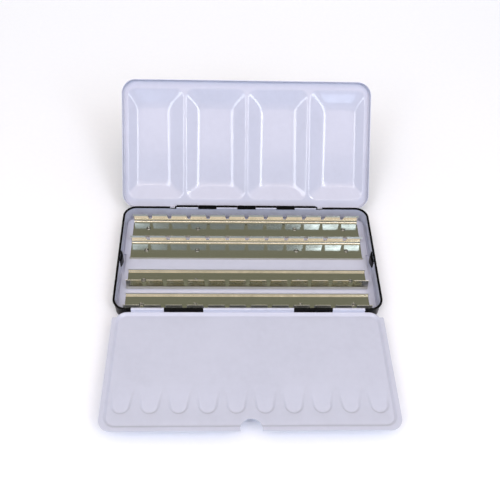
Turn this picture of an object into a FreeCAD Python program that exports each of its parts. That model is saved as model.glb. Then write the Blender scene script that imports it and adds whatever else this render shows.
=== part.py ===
import FreeCAD, Part

import math
import os

# A folding enamelled paint tin for half pans, standing open.  Millimetres.
# +X runs along the long side, +Y towards the lid, +Z up.
# The origin is the centre of the underside of the base tin.

# --- base tin -------------------------------------------------------------
base_length = 230.0          # over the rolled rim, along X
base_depth = 116.0           # over the rolled rim, along Y
base_height = 16.0           # underside to the top of the rolled rim
corner_radius = 12.0         # plan radius of the rolled rim's outer edge
base_sheet = 0.5             # enamelled sheet of the base
bead_radius = 1.0            # rolled rim
floor_radius = 0.9           # inside radius between wall and floor
wall_below_rim = 0.2         # plain wall's top edge under the rim's top

# --- side dimples that the insert's notches pass --------------------------
dimple_depth = 2.6
dimple_length = 19.0
dimple_floor = 3.0           # height where a dimple starts
dimple_below_rim = 1.6

# --- hinges ---------------------------------------------------------------
pin_radius = 0.7
pin_clearance = 0.05         # radial running clearance in a knuckle
knuckle_gap = 0.3            # end gap between neighbouring knuckles
pin_drop_front = 1.4         # front pin's axis under the rim's top
rear_knuckle_radius = 1.3
front_knuckle_radius = 1.4
rear_knuckle_wall_gap = 0.15  # lid knuckles pass the plain wall
rear_bridge_bite = 0.2       # base knuckles' bridge laps the wall's top edge
rear_knuckle_length = 17.2   # base knuckles of the rear hinge
rear_knuckle_pitch = 37.0
rear_hinge_half = 65.7       # lid knuckles reach this far each way
rear_notch_end = 72.0        # rim resumes here, wall is notched up to here
rear_notch_depth = 2.4
front_hinge_half = 98.8      # rim resumes here
front_knuckle_inner = 38.4   # base knuckles of the front hinge
front_knuckle_outer = 70.8
knuckle_wall_drop = 0.15     # lowered front wall clears the flap knuckles
pin_hook_reach = 0.4         # rear pin's bent ends reach this far past the wall's inner face
hook_gap = 0.1               # pin ends to the metal that keeps them

# --- lid ------------------------------------------------------------------
lid_sheet = 0.5
lid_side_gap = 0.9           # skirt to rim, left and right
lid_front_gap = 0.5          # skirt to rim at the front
lid_overlap = 1.0            # skirt reaches this far below the rim's top
lid_shoulder_rise = 4.2      # shoulder's inner face above the rim's top
lid_corner_radius = 13.0
lid_hinge_lift = 0.2         # skirt beside the hinge clears the rim
lid_hinge_zone = 6.0         # that lifted stretch, from the rim's back edge
lid_open_angle = 136.0
well_depth = 5.0
well_side_shoulder = 5.0
well_front_shoulder = 8.0
well_rear_shoulder = 8.75
well_ridge = 2.6
well_outer_slope = 9.0
well_cross_slope = 13.5
well_front_slope = 15.0
well_rear_slope = 13.0
well_mouth_radius = 7.0
well_floor_radius = 5.0

# --- mixing flap ----------------------------------------------------------
flap_sheet = 0.5
flap_reach = 109.0           # pin axis to the far edge
flap_length = 227.2
flap_rest_gap = 0.1          # over the rim when it is folded in
flap_tray_depth = 1.6
flap_flange = 3.3
flap_slope_run = 2.0
flap_hinge_edge = 1.8        # pin axis to the edge beside the hinge
flap_hinge_flange = 0.7
flap_leaf_start = 0.2        # pin axis to the knuckle's flat leaf
flap_hinge_radius = 10.0
flap_far_radius = 10.0
flap_side_inset = 2.3        # edge beside the hinge, in from the side flange
flap_side_start = 7.0        # pin axis to the start of the side flanges
flap_open_angle = 177.2
dab_count = 10
dab_pitch = 21.9
dab_radius = 7.6
dab_mouth_half = 10.6
dab_depth = 1.8
dab_far_margin = 14.7        # round end to the flap's far edge
dab_length = 25.3
thumb_radius = 8.4
thumb_inset = 2.3            # centre of the thumb notch, in from the edge

# --- insert plate ---------------------------------------------------------
plate_sheet = 0.5
plate_lift = 1.1             # under the plate, for the rivet tails
plate_side_gap = 1.5         # plate edge to the wall's inner face
plate_end_gap = 1.1
plate_rear_chamfer = 6.0
plate_front_chamfer = 6.0
notch_depth = 3.6            # clears a dimple
notch_length = 22.0
foot_start = 14.0            # down-turned feet, from the middle
foot_length = 28.0

# --- clip rails -----------------------------------------------------------
rail_sheet = 0.4
rail_width = 20.2
tab_count = 12
tab_pitch = 18.1
end_tab = 15.7
tab_height = 11.4            # over the plate
tab_lean = 3.0
tab_root = 4.2               # unslit strip at the foot of the tabs
tab_leadin = 1.2             # top of a tab, bent outwards
tab_leadin_out = 0.9
slit_top = 4.4
slit_foot = 2.4
lip_height = 2.4
lip_thickness = 1.0
lip_edge = 0.3               # the lip's top corners are eased this much
rear_row_margin = 4.2        # plate's back edge to the rearmost tabs
front_row_margin = 1.5       # plate's front edge to the foremost tabs
row_pitch = 25.8

# --- rivets ---------------------------------------------------------------
rivet_stations = (-92.0, -45.7, 45.7, 92.0)
rivet_shank = 1.0
rivet_head = 2.1
rivet_head_height = 0.7
rivet_tail = 1.7
rivet_tail_height = 0.5
rivet_eye = 0.8
rivet_eye_depth = 0.35
rivet_crown = 0.5            # rounding of a rivet's head

# --- places that follow from the sizes above ------------------------------
rim = base_height
half_length = base_length / 2
half_depth = base_depth / 2
wall_x = half_length - bead_radius
wall_y = half_depth - bead_radius
wall_radius = corner_radius - bead_radius
wall_top = rim - wall_below_rim
bore_radius = pin_radius + pin_clearance
rear_pin_y = wall_y + rear_knuckle_wall_gap + rear_knuckle_radius
rear_pin_z = wall_top - rear_bridge_bite + base_sheet - rear_knuckle_radius
front_pin_y = -wall_y
front_pin_z = rim - pin_drop_front
lid_half = half_length + lid_side_gap + lid_sheet
lid_front = -half_depth - lid_front_gap - lid_sheet
lid_rear = rear_pin_y + rear_knuckle_radius
shoulder_z = rim + lid_shoulder_rise
flange_z = rim + flap_rest_gap
panel_z = flange_z + flap_tray_depth
flap_far = front_pin_y + flap_reach
plate_z = base_sheet + plate_lift
plate_top = plate_z + plate_sheet
plate_half_x = wall_x - base_sheet - plate_side_gap
plate_half_y = wall_y - base_sheet - plate_end_gap
rear_row_back = plate_half_y - rear_row_margin
front_row_front = front_row_margin - plate_half_y
rail_half = (tab_count - 2) * tab_pitch / 2 + end_tab
overshoot = 1.0              # cutters reach past what they cut


def box(x, y, z):
    """A box from three (low, high) pairs."""
    size = (x[1] - x[0], y[1] - y[0], z[1] - z[0])
    return Part.makeBox(*size, FreeCAD.Vector(x[0], y[0], z[0]))


def rounded_wire(half_x, y, radii, z):
    """A rectangle about x = 0 from y[0] to y[1], with (near, far) corner radii."""
    near, far = radii
    corners = (
        (half_x, y[0], near, -1, 1),
        (half_x, y[1], far, -1, -1),
        (-half_x, y[1], far, 1, -1),
        (-half_x, y[0], near, 1, 1),
    )
    start = {}
    end = {}
    arcs = []
    for i, (cx, cy, r, sx, sy) in enumerate(corners):
        centre = FreeCAD.Vector(cx + sx * r, cy + sy * r, z)
        along_x = FreeCAD.Vector(cx + sx * r, cy, z)
        along_y = FreeCAD.Vector(cx, cy + sy * r, z)
        first, last = (along_x, along_y) if i % 2 == 0 else (along_y, along_x)
        middle = centre + FreeCAD.Vector(-sx * r, -sy * r, 0) * math.sqrt(0.5)
        arcs.append(Part.Arc(first, middle, last).toShape())
        start[i] = first
        end[i] = last
    edges = []
    for i in range(4):
        edges.append(arcs[i])
        edges.append(Part.makeLine(end[i], start[(i + 1) % 4]))
    return Part.Wire(edges)


def slab(half_x, y, radii, z):
    """A rounded rectangle extruded from z[0] to z[1]."""
    face = Part.Face(rounded_wire(half_x, y, radii, z[0]))
    return face.extrude(FreeCAD.Vector(0, 0, z[1] - z[0]))


def frustum(low, high):
    """A solid between two outlines, each (x pair, y pair, radii, z)."""
    wires = []
    for x, y, radii, z in (low, high):
        wire = rounded_wire((x[1] - x[0]) / 2, y, radii, z)
        wire.translate(FreeCAD.Vector((x[0] + x[1]) / 2, 0, 0))
        wires.append(wire)
    return Part.makeLoft(wires, True, True)


def prism_x(outline, x):
    """A closed (y, z) outline extruded along X."""
    points = [FreeCAD.Vector(x[0], y, z) for y, z in outline]
    face = Part.Face(Part.makePolygon(points + points[:1]))
    return face.extrude(FreeCAD.Vector(x[1] - x[0], 0, 0))


def prism_y(outline, y):
    """A closed (x, z) outline extruded along Y."""
    points = [FreeCAD.Vector(x, y[0], z) for x, z in outline]
    face = Part.Face(Part.makePolygon(points + points[:1]))
    return face.extrude(FreeCAD.Vector(0, y[1] - y[0], 0))


def rod_x(radius, x, y, z):
    """A round rod along X."""
    return Part.makeCylinder(radius, x[1] - x[0], FreeCAD.Vector(x[0], y, z), FreeCAD.Vector(1, 0, 0))


def fuse(shapes):
    """One clean solid from several that touch."""
    return shapes[0].multiFuse(shapes[1:]).removeSplitter()


def both_sides(shape):
    """A shape and its mirror across x = 0."""
    mirrored = shape.mirror(FreeCAD.Vector(0, 0, 0), FreeCAD.Vector(1, 0, 0))
    return [shape, mirrored]


def bottom_edges(shape, z):
    """The edges of a shape that lie flat at height z."""
    flat = []
    for edge in shape.Edges:
        if edge.BoundBox.ZLength < 1e-6 and abs(edge.BoundBox.ZMin - z) < 1e-6:
            flat.append(edge)
    return flat


def turn(shape, y, z, angle):
    """A shape turned about a hinge line along X."""
    turned = shape.copy()
    turned.rotate(FreeCAD.Vector(0, y, z), FreeCAD.Vector(1, 0, 0), angle)
    return turned


def rear_base_spans():
    """X spans of the base's knuckles in the rear hinge."""
    spans = []
    for place in (-1, 0, 1):
        centre = place * rear_knuckle_pitch
        spans.append((centre - rear_knuckle_length / 2, centre + rear_knuckle_length / 2))
    return spans


def rear_lid_spans():
    """X spans of the lid's knuckles, between and outside the base's."""
    edges = [-rear_hinge_half - knuckle_gap]
    for low, high in rear_base_spans():
        edges += [low, high]
    edges.append(rear_hinge_half + knuckle_gap)
    spans = []
    for i in range(0, len(edges), 2):
        spans.append((edges[i] + knuckle_gap, edges[i + 1] - knuckle_gap))
    return spans


def front_base_spans():
    """X spans of the base's knuckles in the front hinge."""
    return [(-front_knuckle_outer, -front_knuckle_inner), (front_knuckle_inner, front_knuckle_outer)]


def front_flap_spans():
    """X spans of the flap's knuckles."""
    outer = (front_knuckle_outer + knuckle_gap, front_hinge_half - knuckle_gap)
    inner = front_knuckle_inner - knuckle_gap
    return [(-outer[1], -outer[0]), (-inner, inner), outer]


def side_dimple():
    """The pressed-in bump of the right wall and the hollow behind it."""
    inner_face = wall_x - base_sheet
    half = dimple_length / 2
    radius = (half ** 2 + dimple_depth ** 2) / (2 * dimple_depth)
    z = (dimple_floor, rim - dimple_below_rim)
    centre = FreeCAD.Vector(inner_face - dimple_depth + radius, 0, z[0])
    bump = Part.makeCylinder(radius, z[1] - z[0], centre)
    bump = bump.common(box((0, wall_x - base_sheet / 2), (-half, half), z))
    hollow_centre = centre + FreeCAD.Vector(base_sheet, 0, base_sheet)
    hollow = Part.makeCylinder(radius, z[1] - z[0] - 2 * base_sheet, hollow_centre)
    hollow = hollow.common(box((0, wall_x + overshoot), (-half, half), z))
    return bump, hollow


def base_tin():
    """The tray with its rolled rim, hinge knuckles and side dimples."""
    tray = slab(wall_x, (-wall_y, wall_y), (wall_radius, wall_radius), (0, wall_top))
    tray = tray.makeFillet(floor_radius + base_sheet, bottom_edges(tray, 0))
    inner_x = wall_x - base_sheet
    inner_y = wall_y - base_sheet
    inner_radius = wall_radius - base_sheet
    hollow = slab(inner_x, (-inner_y, inner_y), (inner_radius, inner_radius), (base_sheet, rim + overshoot))
    hollow = hollow.makeFillet(floor_radius, bottom_edges(hollow, base_sheet))
    tray = tray.cut(hollow)

    for bump in both_sides(side_dimple()[0]):
        tray = tray.fuse(bump)
    for recess in both_sides(side_dimple()[1]):
        tray = tray.cut(recess)

    # Wall lowered under the flap's knuckles and notched for the rear pin's ends.
    front_wall = (-wall_y - overshoot, -inner_y + overshoot)
    rear_wall = (inner_y - overshoot, wall_y + overshoot)
    under_knuckle = front_pin_z - front_knuckle_radius - knuckle_wall_drop
    under_bore = front_pin_z - (front_knuckle_radius + bore_radius) / 2
    front_half = front_hinge_half
    cuts = [box((-front_half, front_half), front_wall, (under_bore, rim + overshoot))]
    for low, high in front_flap_spans():
        span = (low - knuckle_gap, high + knuckle_gap)
        cuts.append(box(span, front_wall, (under_knuckle, rim + overshoot)))
    notch = box((rear_hinge_half + knuckle_gap, rear_notch_end), rear_wall,
                (rim - rear_notch_depth, rim + overshoot))
    cuts += both_sides(notch)
    for cutter in cuts:
        tray = tray.cut(cutter)

    # The rolled rim, open where the hinges are.
    path = rounded_wire(wall_x, (-wall_y, wall_y), (wall_radius, wall_radius), rim - bead_radius)
    ring = Part.Wire([Part.Circle(FreeCAD.Vector(0, -wall_y, rim - bead_radius),
                                  FreeCAD.Vector(1, 0, 0), bead_radius).toShape()])
    bead = path.makePipeShell([ring], True, True)
    hinge_z = (rim - 3 * bead_radius, rim + overshoot)
    bead = bead.cut(box((-front_half, front_half), (-half_depth - overshoot, -inner_y + bead_radius), hinge_z))
    bead = bead.cut(box((-rear_notch_end, rear_notch_end), (inner_y - bead_radius, half_depth + overshoot),
                        hinge_z))

    pieces = [tray, bead]
    for span in front_base_spans():
        pieces.append(rod_x(front_knuckle_radius, span, front_pin_y, front_pin_z))
    for span in rear_base_spans():
        top = rear_pin_z + rear_knuckle_radius
        pieces.append(rod_x(rear_knuckle_radius, span, rear_pin_y, rear_pin_z))
        pieces.append(box(span, (inner_y, rear_pin_y), (top - base_sheet, top)))
    body = fuse(pieces)
    for span in front_base_spans():
        body = body.cut(rod_x(bore_radius, span, front_pin_y, front_pin_z))
    for span in rear_base_spans():
        body = body.cut(rod_x(bore_radius, span, rear_pin_y, rear_pin_z))
    return body


def lid_wells(z):
    """The four wells of the lid as solids whose mouths lie at height z."""
    outer_edge = lid_half - well_side_shoulder
    floor_width = (outer_edge - 1.5 * well_ridge - 3 * well_cross_slope - well_outer_slope) / 2
    inner_edge = well_ridge / 2 + 2 * well_cross_slope + floor_width
    mouths = ((well_ridge / 2, inner_edge), (inner_edge + well_ridge, outer_edge))
    outer_slopes = (well_cross_slope, well_outer_slope)
    mouth_y = (lid_front + well_front_shoulder, lid_rear - well_rear_shoulder)
    floor_y = (mouth_y[0] + well_front_slope, mouth_y[1] - well_rear_slope)
    mouth_radii = (well_mouth_radius, well_mouth_radius)
    floor_radii = (well_floor_radius, well_floor_radius)
    wells = []
    for mouth_x, outer_slope in zip(mouths, outer_slopes):
        floor_x = (mouth_x[0] + well_cross_slope, mouth_x[1] - outer_slope)
        well = frustum((mouth_x, mouth_y, mouth_radii, z), (floor_x, floor_y, floor_radii, z + well_depth))
        wells += both_sides(well)
    return wells


def lid():
    """The lid shut: skirt, shoulder, four raised mixing wells and its knuckles."""
    skirt_z = (rim - lid_overlap, shoulder_z + lid_sheet)
    radii = (lid_corner_radius, lid_corner_radius)
    inner_radii = (lid_corner_radius - lid_sheet, lid_corner_radius - lid_sheet)
    shell = [slab(lid_half, (lid_front, lid_rear), radii, skirt_z)]
    shell += lid_wells(shoulder_z + lid_sheet)
    hollow = [slab(lid_half - lid_sheet, (lid_front + lid_sheet, lid_rear - lid_sheet), inner_radii,
                   (rim - lid_overlap - overshoot, shoulder_z))]
    hollow += lid_wells(shoulder_z)
    body = fuse(shell)
    for cutter in hollow:
        body = body.cut(cutter)
    zone = (half_depth - lid_hinge_zone, lid_rear + overshoot)
    low_edge = (rim - lid_overlap - overshoot, rim + lid_hinge_lift)
    body = body.cut(box((-lid_half - overshoot, lid_half + overshoot), zone, low_edge))
    leaf_z = (rear_pin_z, rim + lid_hinge_lift + overshoot)
    pieces = [body]
    for span in rear_lid_spans():
        pieces.append(rod_x(rear_knuckle_radius, span, rear_pin_y, rear_pin_z))
        pieces.append(box(span, (lid_rear - lid_sheet, lid_rear), leaf_z))
    body = fuse(pieces)
    for span in rear_lid_spans():
        body = body.cut(rod_x(bore_radius, span, rear_pin_y, rear_pin_z))
    return body


def dab_outline(grow):
    """Plan outline of one U-shaped well about x = 0, wide end towards the hinge."""
    radius = dab_radius + grow
    far = flap_far - dab_far_margin - dab_radius
    mouth = flap_far - dab_far_margin - dab_length
    left = FreeCAD.Vector(-radius, far, 0)
    right = FreeCAD.Vector(radius, far, 0)
    tip = FreeCAD.Vector(0, far + radius, 0)
    mouth_left = FreeCAD.Vector(-dab_mouth_half - grow, mouth, 0)
    mouth_right = FreeCAD.Vector(dab_mouth_half + grow, mouth, 0)
    edges = [
        Part.makeLine(mouth_left, left),
        Part.Arc(left, tip, right).toShape(),
        Part.makeLine(right, mouth_right),
        Part.makeLine(mouth_right, mouth_left),
    ]
    return Part.Wire(edges)


def dab_well(x, grow, top):
    """One well: its outline under a plane that rises from the wide end."""
    mouth = flap_far - dab_far_margin - dab_length
    far = flap_far - dab_far_margin + overshoot
    rise = dab_depth * (far - mouth) / dab_length
    block = Part.Face(dab_outline(grow)).extrude(FreeCAD.Vector(0, 0, rim))
    block.translate(FreeCAD.Vector(0, 0, panel_z - flap_sheet))
    wedge_outline = (
        (mouth, panel_z - flap_sheet),
        (far, panel_z - flap_sheet),
        (far, top + rise),
        (mouth, top),
    )
    reach = dab_mouth_half + overshoot
    well = block.common(prism_x(wedge_outline, (-reach, reach)))
    well.translate(FreeCAD.Vector(x, 0, 0))
    return well


def flap():
    """The mixing flap folded in: a shallow upturned tray with ten slanted wells."""
    half = flap_length / 2
    near = front_pin_y + flap_hinge_edge
    flange = (flange_z, flange_z + flap_sheet)
    hinge_half = half - flap_side_inset
    radii = (flap_hinge_radius, flap_far_radius)
    outer = [
        slab(hinge_half, (near, flap_far), radii, flange),
        slab(half, (front_pin_y + flap_side_start, flap_far), (overshoot, flap_far_radius), flange),
    ]
    mouth_x = half - flap_flange
    mouth_y = (near + flap_hinge_flange, flap_far - flap_flange)
    run = flap_slope_run
    mouth_radii = (flap_hinge_radius - flap_hinge_flange, flap_far_radius - flap_flange)
    panel_x = mouth_x - run
    panel_y = (mouth_y[0] + run, mouth_y[1] - run)
    panel_radii = (mouth_radii[0] - run / 2, mouth_radii[1] - run / 2)
    tray = frustum(((-mouth_x, mouth_x), mouth_y, mouth_radii, flange_z),
                   ((-panel_x, panel_x), panel_y, panel_radii, panel_z))
    raised = tray.copy()
    raised.translate(FreeCAD.Vector(0, 0, flap_sheet))
    outer.append(raised)
    recess = tray.fuse(slab(mouth_x, mouth_y, mouth_radii, (flange_z - overshoot, flange_z)))
    stations = [(i - (dab_count - 1) / 2) * dab_pitch for i in range(dab_count)]
    for x in stations:
        outer.append(dab_well(x, flap_sheet, panel_z + flap_sheet))
    body = fuse(outer).cut(recess)
    for x in stations:
        body = body.cut(dab_well(x, 0.0, panel_z))
    pieces = [body]
    leaf_y = (front_pin_y + flap_leaf_start, near + flap_hinge_flange)
    leaf_z = (front_pin_z + front_knuckle_radius - flap_sheet, flange_z + flap_sheet / 2)
    for span in front_flap_spans():
        pieces.append(rod_x(front_knuckle_radius, span, front_pin_y, front_pin_z))
        pieces.append(box(span, leaf_y, leaf_z))
    body = fuse(pieces)
    for span in front_flap_spans():
        body = body.cut(rod_x(bore_radius, span, front_pin_y, front_pin_z))
    thumb = Part.makeCylinder(thumb_radius, 2 * overshoot + flap_tray_depth + flap_sheet,
                              FreeCAD.Vector(0, flap_far - thumb_inset, flange_z - overshoot))
    return body.cut(thumb)


def rear_pin():
    """The lid's hinge wire, its ends hooked in over the notched wall."""
    turn_x = rear_hinge_half + knuckle_gap + hook_gap + pin_radius
    pieces = [rod_x(pin_radius, (-turn_x, turn_x), rear_pin_y, rear_pin_z)]
    hook_length = rear_pin_y - (wall_y - base_sheet - pin_hook_reach)
    corner = FreeCAD.Vector(turn_x, rear_pin_y, rear_pin_z)
    hook = Part.makeCylinder(pin_radius, hook_length, corner, FreeCAD.Vector(0, -1, 0))
    pieces += both_sides(hook)
    pieces += both_sides(Part.makeSphere(pin_radius, corner))
    return fuse(pieces)


def front_pin():
    """The flap's hinge wire, held between the ends of the rolled rim."""
    end = front_hinge_half - hook_gap
    return rod_x(pin_radius, (-end, end), front_pin_y, front_pin_z)


def row_floor_middle(root, side):
    """Y of the middle of a rail's floor, between its lip and its tabs."""
    return root - side * (rail_sheet + rail_width - lip_thickness) / 2


def rows():
    """Each row's tab root and the side its tabs stand on (+1 back, -1 front)."""
    return (
        (rear_row_back, 1),
        (rear_row_back - row_pitch, 1),
        (front_row_front + row_pitch, -1),
        (front_row_front, -1),
    )


def insert_plate():
    """The lift-out plate that carries the rails."""
    half_x = plate_half_x
    half_y = plate_half_y
    front = plate_front_chamfer
    rear = plate_rear_chamfer
    outline = (
        (-half_x + front, -half_y),
        (half_x - front, -half_y),
        (half_x, -half_y + front),
        (half_x, half_y - rear),
        (half_x - rear, half_y),
        (-half_x + rear, half_y),
        (-half_x, half_y - rear),
        (-half_x, -half_y + front),
    )
    points = [FreeCAD.Vector(x, y, plate_z) for x, y in outline]
    plate = Part.Face(Part.makePolygon(points + points[:1])).extrude(FreeCAD.Vector(0, 0, plate_sheet))
    edge = wall_x - base_sheet
    notch = box((edge - notch_depth, edge), (-notch_length / 2, notch_length / 2), (0, rim))
    for cutter in both_sides(notch):
        plate = plate.cut(cutter)
    feet = []
    for start in (foot_start, -foot_start - foot_length):
        foot = box((half_x - plate_sheet, half_x), (start, start + foot_length), (base_sheet, plate_top))
        feet += both_sides(foot)
    plate = fuse([plate] + feet)
    for root, side in rows():
        for x in rivet_stations:
            middle = FreeCAD.Vector(x, row_floor_middle(root, side), 0)
            plate = plate.cut(Part.makeCylinder(rivet_shank, rim, middle))
    return plate


def clip_rail(root, side):
    """One rail: floor, plain lip and a row of sprung tabs leaning over the pans."""
    shin = tab_height - tab_leadin
    shin_lean = tab_lean * shin / tab_height
    section = (
        (0, 0),
        (shin_lean, shin),
        (shin_lean - tab_leadin_out, tab_height),
        (shin_lean - tab_leadin_out + rail_sheet, tab_height),
        (shin_lean + rail_sheet, shin),
        (rail_sheet * (1 + tab_lean / tab_height), rail_sheet),
        (rail_width - lip_thickness, rail_sheet),
        (rail_width - lip_thickness, lip_height - lip_edge),
        (rail_width - lip_thickness + lip_edge, lip_height),
        (rail_width - lip_edge, lip_height),
        (rail_width, lip_height - lip_edge),
        (rail_width, 0),
    )
    outline = [(root - side * u, plate_top + z) for u, z in section]
    rail = prism_x(outline, (-rail_half, rail_half))
    slit_z = plate_top + tab_root
    slit_head = plate_top + tab_height + overshoot
    tab_zone = sorted((root + side * overshoot, root - side * (tab_lean + 2 * overshoot)))
    for i in range(tab_count - 1):
        x = (i - (tab_count - 2) / 2) * tab_pitch
        slit = (
            (x - slit_top / 2, slit_head),
            (x - slit_foot / 2, slit_z),
            (x + slit_foot / 2, slit_z),
            (x + slit_top / 2, slit_head),
        )
        rail = rail.cut(prism_y(slit, tab_zone))
    for x in rivet_stations:
        middle = FreeCAD.Vector(x, row_floor_middle(root, side), 0)
        rail = rail.cut(Part.makeCylinder(rivet_shank, rim, middle))
    return rail


def rail_rivets(root, side):
    """The four rivets of one rail, headed over the rail and under the plate."""
    seat = plate_top + rail_sheet
    rivets = []
    for x in rivet_stations:
        foot = FreeCAD.Vector(x, row_floor_middle(root, side), 0)
        head = Part.makeCylinder(rivet_head, rivet_head_height, foot + FreeCAD.Vector(0, 0, seat))
        crown = [e for e in head.Edges if e.BoundBox.ZMin > seat + rivet_head_height / 2]
        head = head.makeFillet(rivet_crown, crown)
        eye = Part.makeCylinder(rivet_eye, overshoot,
                                foot + FreeCAD.Vector(0, 0, seat + rivet_head_height - rivet_eye_depth))
        shank = Part.makeCylinder(rivet_shank, seat - plate_z, foot + FreeCAD.Vector(0, 0, plate_z))
        tail = Part.makeCylinder(rivet_tail, rivet_tail_height,
                                 foot + FreeCAD.Vector(0, 0, plate_z - rivet_tail_height))
        rivets.append(fuse([head, shank, tail]).cut(eye))
    return Part.makeCompound(rivets)


def write(node, shape):
    """Save one sub-part."""
    shape.exportStep("parts/" + node + ".step")


os.makedirs("parts", exist_ok=True)
write("base_tin", base_tin())
write("rear_hinge_pin", rear_pin())
write("front_hinge_pin", front_pin())
write("lid", turn(lid(), rear_pin_y, rear_pin_z, -lid_open_angle))
write("mixing_flap", turn(flap(), front_pin_y, front_pin_z, flap_open_angle))
write("insert_plate", insert_plate())
for number, (row_root, row_side) in enumerate(rows(), start=1):
    write("clip_rail_" + str(number), clip_rail(row_root, row_side))
    write("rail_rivets_" + str(number), rail_rivets(row_root, row_side))
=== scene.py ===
"""A folding enamelled tin for watercolour pans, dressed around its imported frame."""

import logging
import math
from dataclasses import dataclass, field
from enum import Enum
from typing import Any, Callable, Iterable, Sequence

import bmesh
import bpy
import numpy as np
from mathutils import Matrix, Vector
from mathutils.geometry import delaunay_2d_cdt


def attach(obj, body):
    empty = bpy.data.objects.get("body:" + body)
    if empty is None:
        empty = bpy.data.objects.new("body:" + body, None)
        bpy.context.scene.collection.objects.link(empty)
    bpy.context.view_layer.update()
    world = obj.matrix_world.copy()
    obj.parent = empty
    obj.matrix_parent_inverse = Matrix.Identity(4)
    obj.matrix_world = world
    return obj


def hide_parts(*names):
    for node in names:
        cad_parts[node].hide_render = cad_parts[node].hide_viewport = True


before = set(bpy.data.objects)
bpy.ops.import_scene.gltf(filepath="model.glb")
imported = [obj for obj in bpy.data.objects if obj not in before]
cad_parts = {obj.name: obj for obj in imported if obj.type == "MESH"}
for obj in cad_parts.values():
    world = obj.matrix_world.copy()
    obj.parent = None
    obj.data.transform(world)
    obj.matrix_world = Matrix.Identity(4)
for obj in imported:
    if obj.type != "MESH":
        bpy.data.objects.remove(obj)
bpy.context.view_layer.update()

MM = 0.001
LOG = logging.getLogger("pan_tin")

# Sheets are filled inside their outlines only, and points closer than these merge, in millimetres.
FILL_INSIDE = 1
FLAT_MERGE = 1e-6
DRAPE_MERGE = 1e-5
# Points of a pressed sheet closer than this are welded, in metres.
WELD = 2e-6
# Stands in for a length of zero where something is divided by it.
NEVER_ZERO = 1e-12

Point = tuple[float, float, float]
Flat = tuple[float, float]
Span = tuple[float, float]
Spans = tuple[Span, ...]
Loop = np.ndarray


class Body(Enum):
    """The frame's moving bodies."""

    BASE = "base"
    LID = "lid"
    FLAP = "flap"
    INSERT = "insert"


class Slot(Enum):
    """The record's material slot names; the pieces made here take their finishes directly, not through these.
    """

    BLACK_ENAMEL = "black_enamel"
    WHITE_ENAMEL = "white_enamel"
    TIN_PLATE = "tin_plate"
    RIVET_TIN = "rivet_tin"


class Side(Enum):
    """Which long edge of a rail its tabs stand on."""

    BACK = 1
    FRONT = -1


# --------------------------------------------------------------------------
# Colours and nodes
# --------------------------------------------------------------------------


def linear(code: str) -> tuple[float, float, float, float]:
    """Turn an sRGB hex colour into the linear values a shader takes.

    Args:
        code: Six hex digits with a leading hash sign.

    Returns:
        Linear red, green, blue and an alpha of one.
    """
    parts = [int(code[i : i + 2], 16) / 255 for i in (1, 3, 5)]
    red, green, blue = (p / 12.92 if p <= 0.04045 else ((p + 0.055) / 1.055) ** 2.4 for p in parts)
    return red, green, blue, 1.0


def per_mm(length: float) -> float:
    """Noise scale that gives features of one length in millimetres."""
    return 1.0 / (length * MM)


def add_node(tree: bpy.types.NodeTree, kind: str, inputs: dict | None = None,
             **settings: Any) -> bpy.types.Node:
    """Add a node with its settings and links.

    Args:
        tree: The tree that gets the node.
        kind: The node's type name.
        inputs: Socket name or number to a value, an output socket to link, or a node, whose
            first output is linked.
        **settings: The node's own properties.

    Returns:
        The new node.
    """
    node = tree.nodes.new(kind)
    for name, value in settings.items():
        setattr(node, name, value)
    for key, value in (inputs or {}).items():
        source = value.outputs[0] if isinstance(value, bpy.types.Node) else value
        if isinstance(source, bpy.types.NodeSocket):
            tree.links.new(source, node.inputs[key])
        else:
            node.inputs[key].default_value = source
    return node


def new_material(name: str) -> tuple[bpy.types.Material, bpy.types.NodeTree, bpy.types.NodeSocket]:
    """Make an empty node material.

    Args:
        name: The material's name.

    Returns:
        The material, its tree and the object coordinates' socket.
    """
    material = bpy.data.materials.new(name)
    material.use_nodes = True
    tree = material.node_tree
    tree.nodes.clear()
    place = add_node(tree, "ShaderNodeTexCoord").outputs["Object"]
    return material, tree, place


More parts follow.
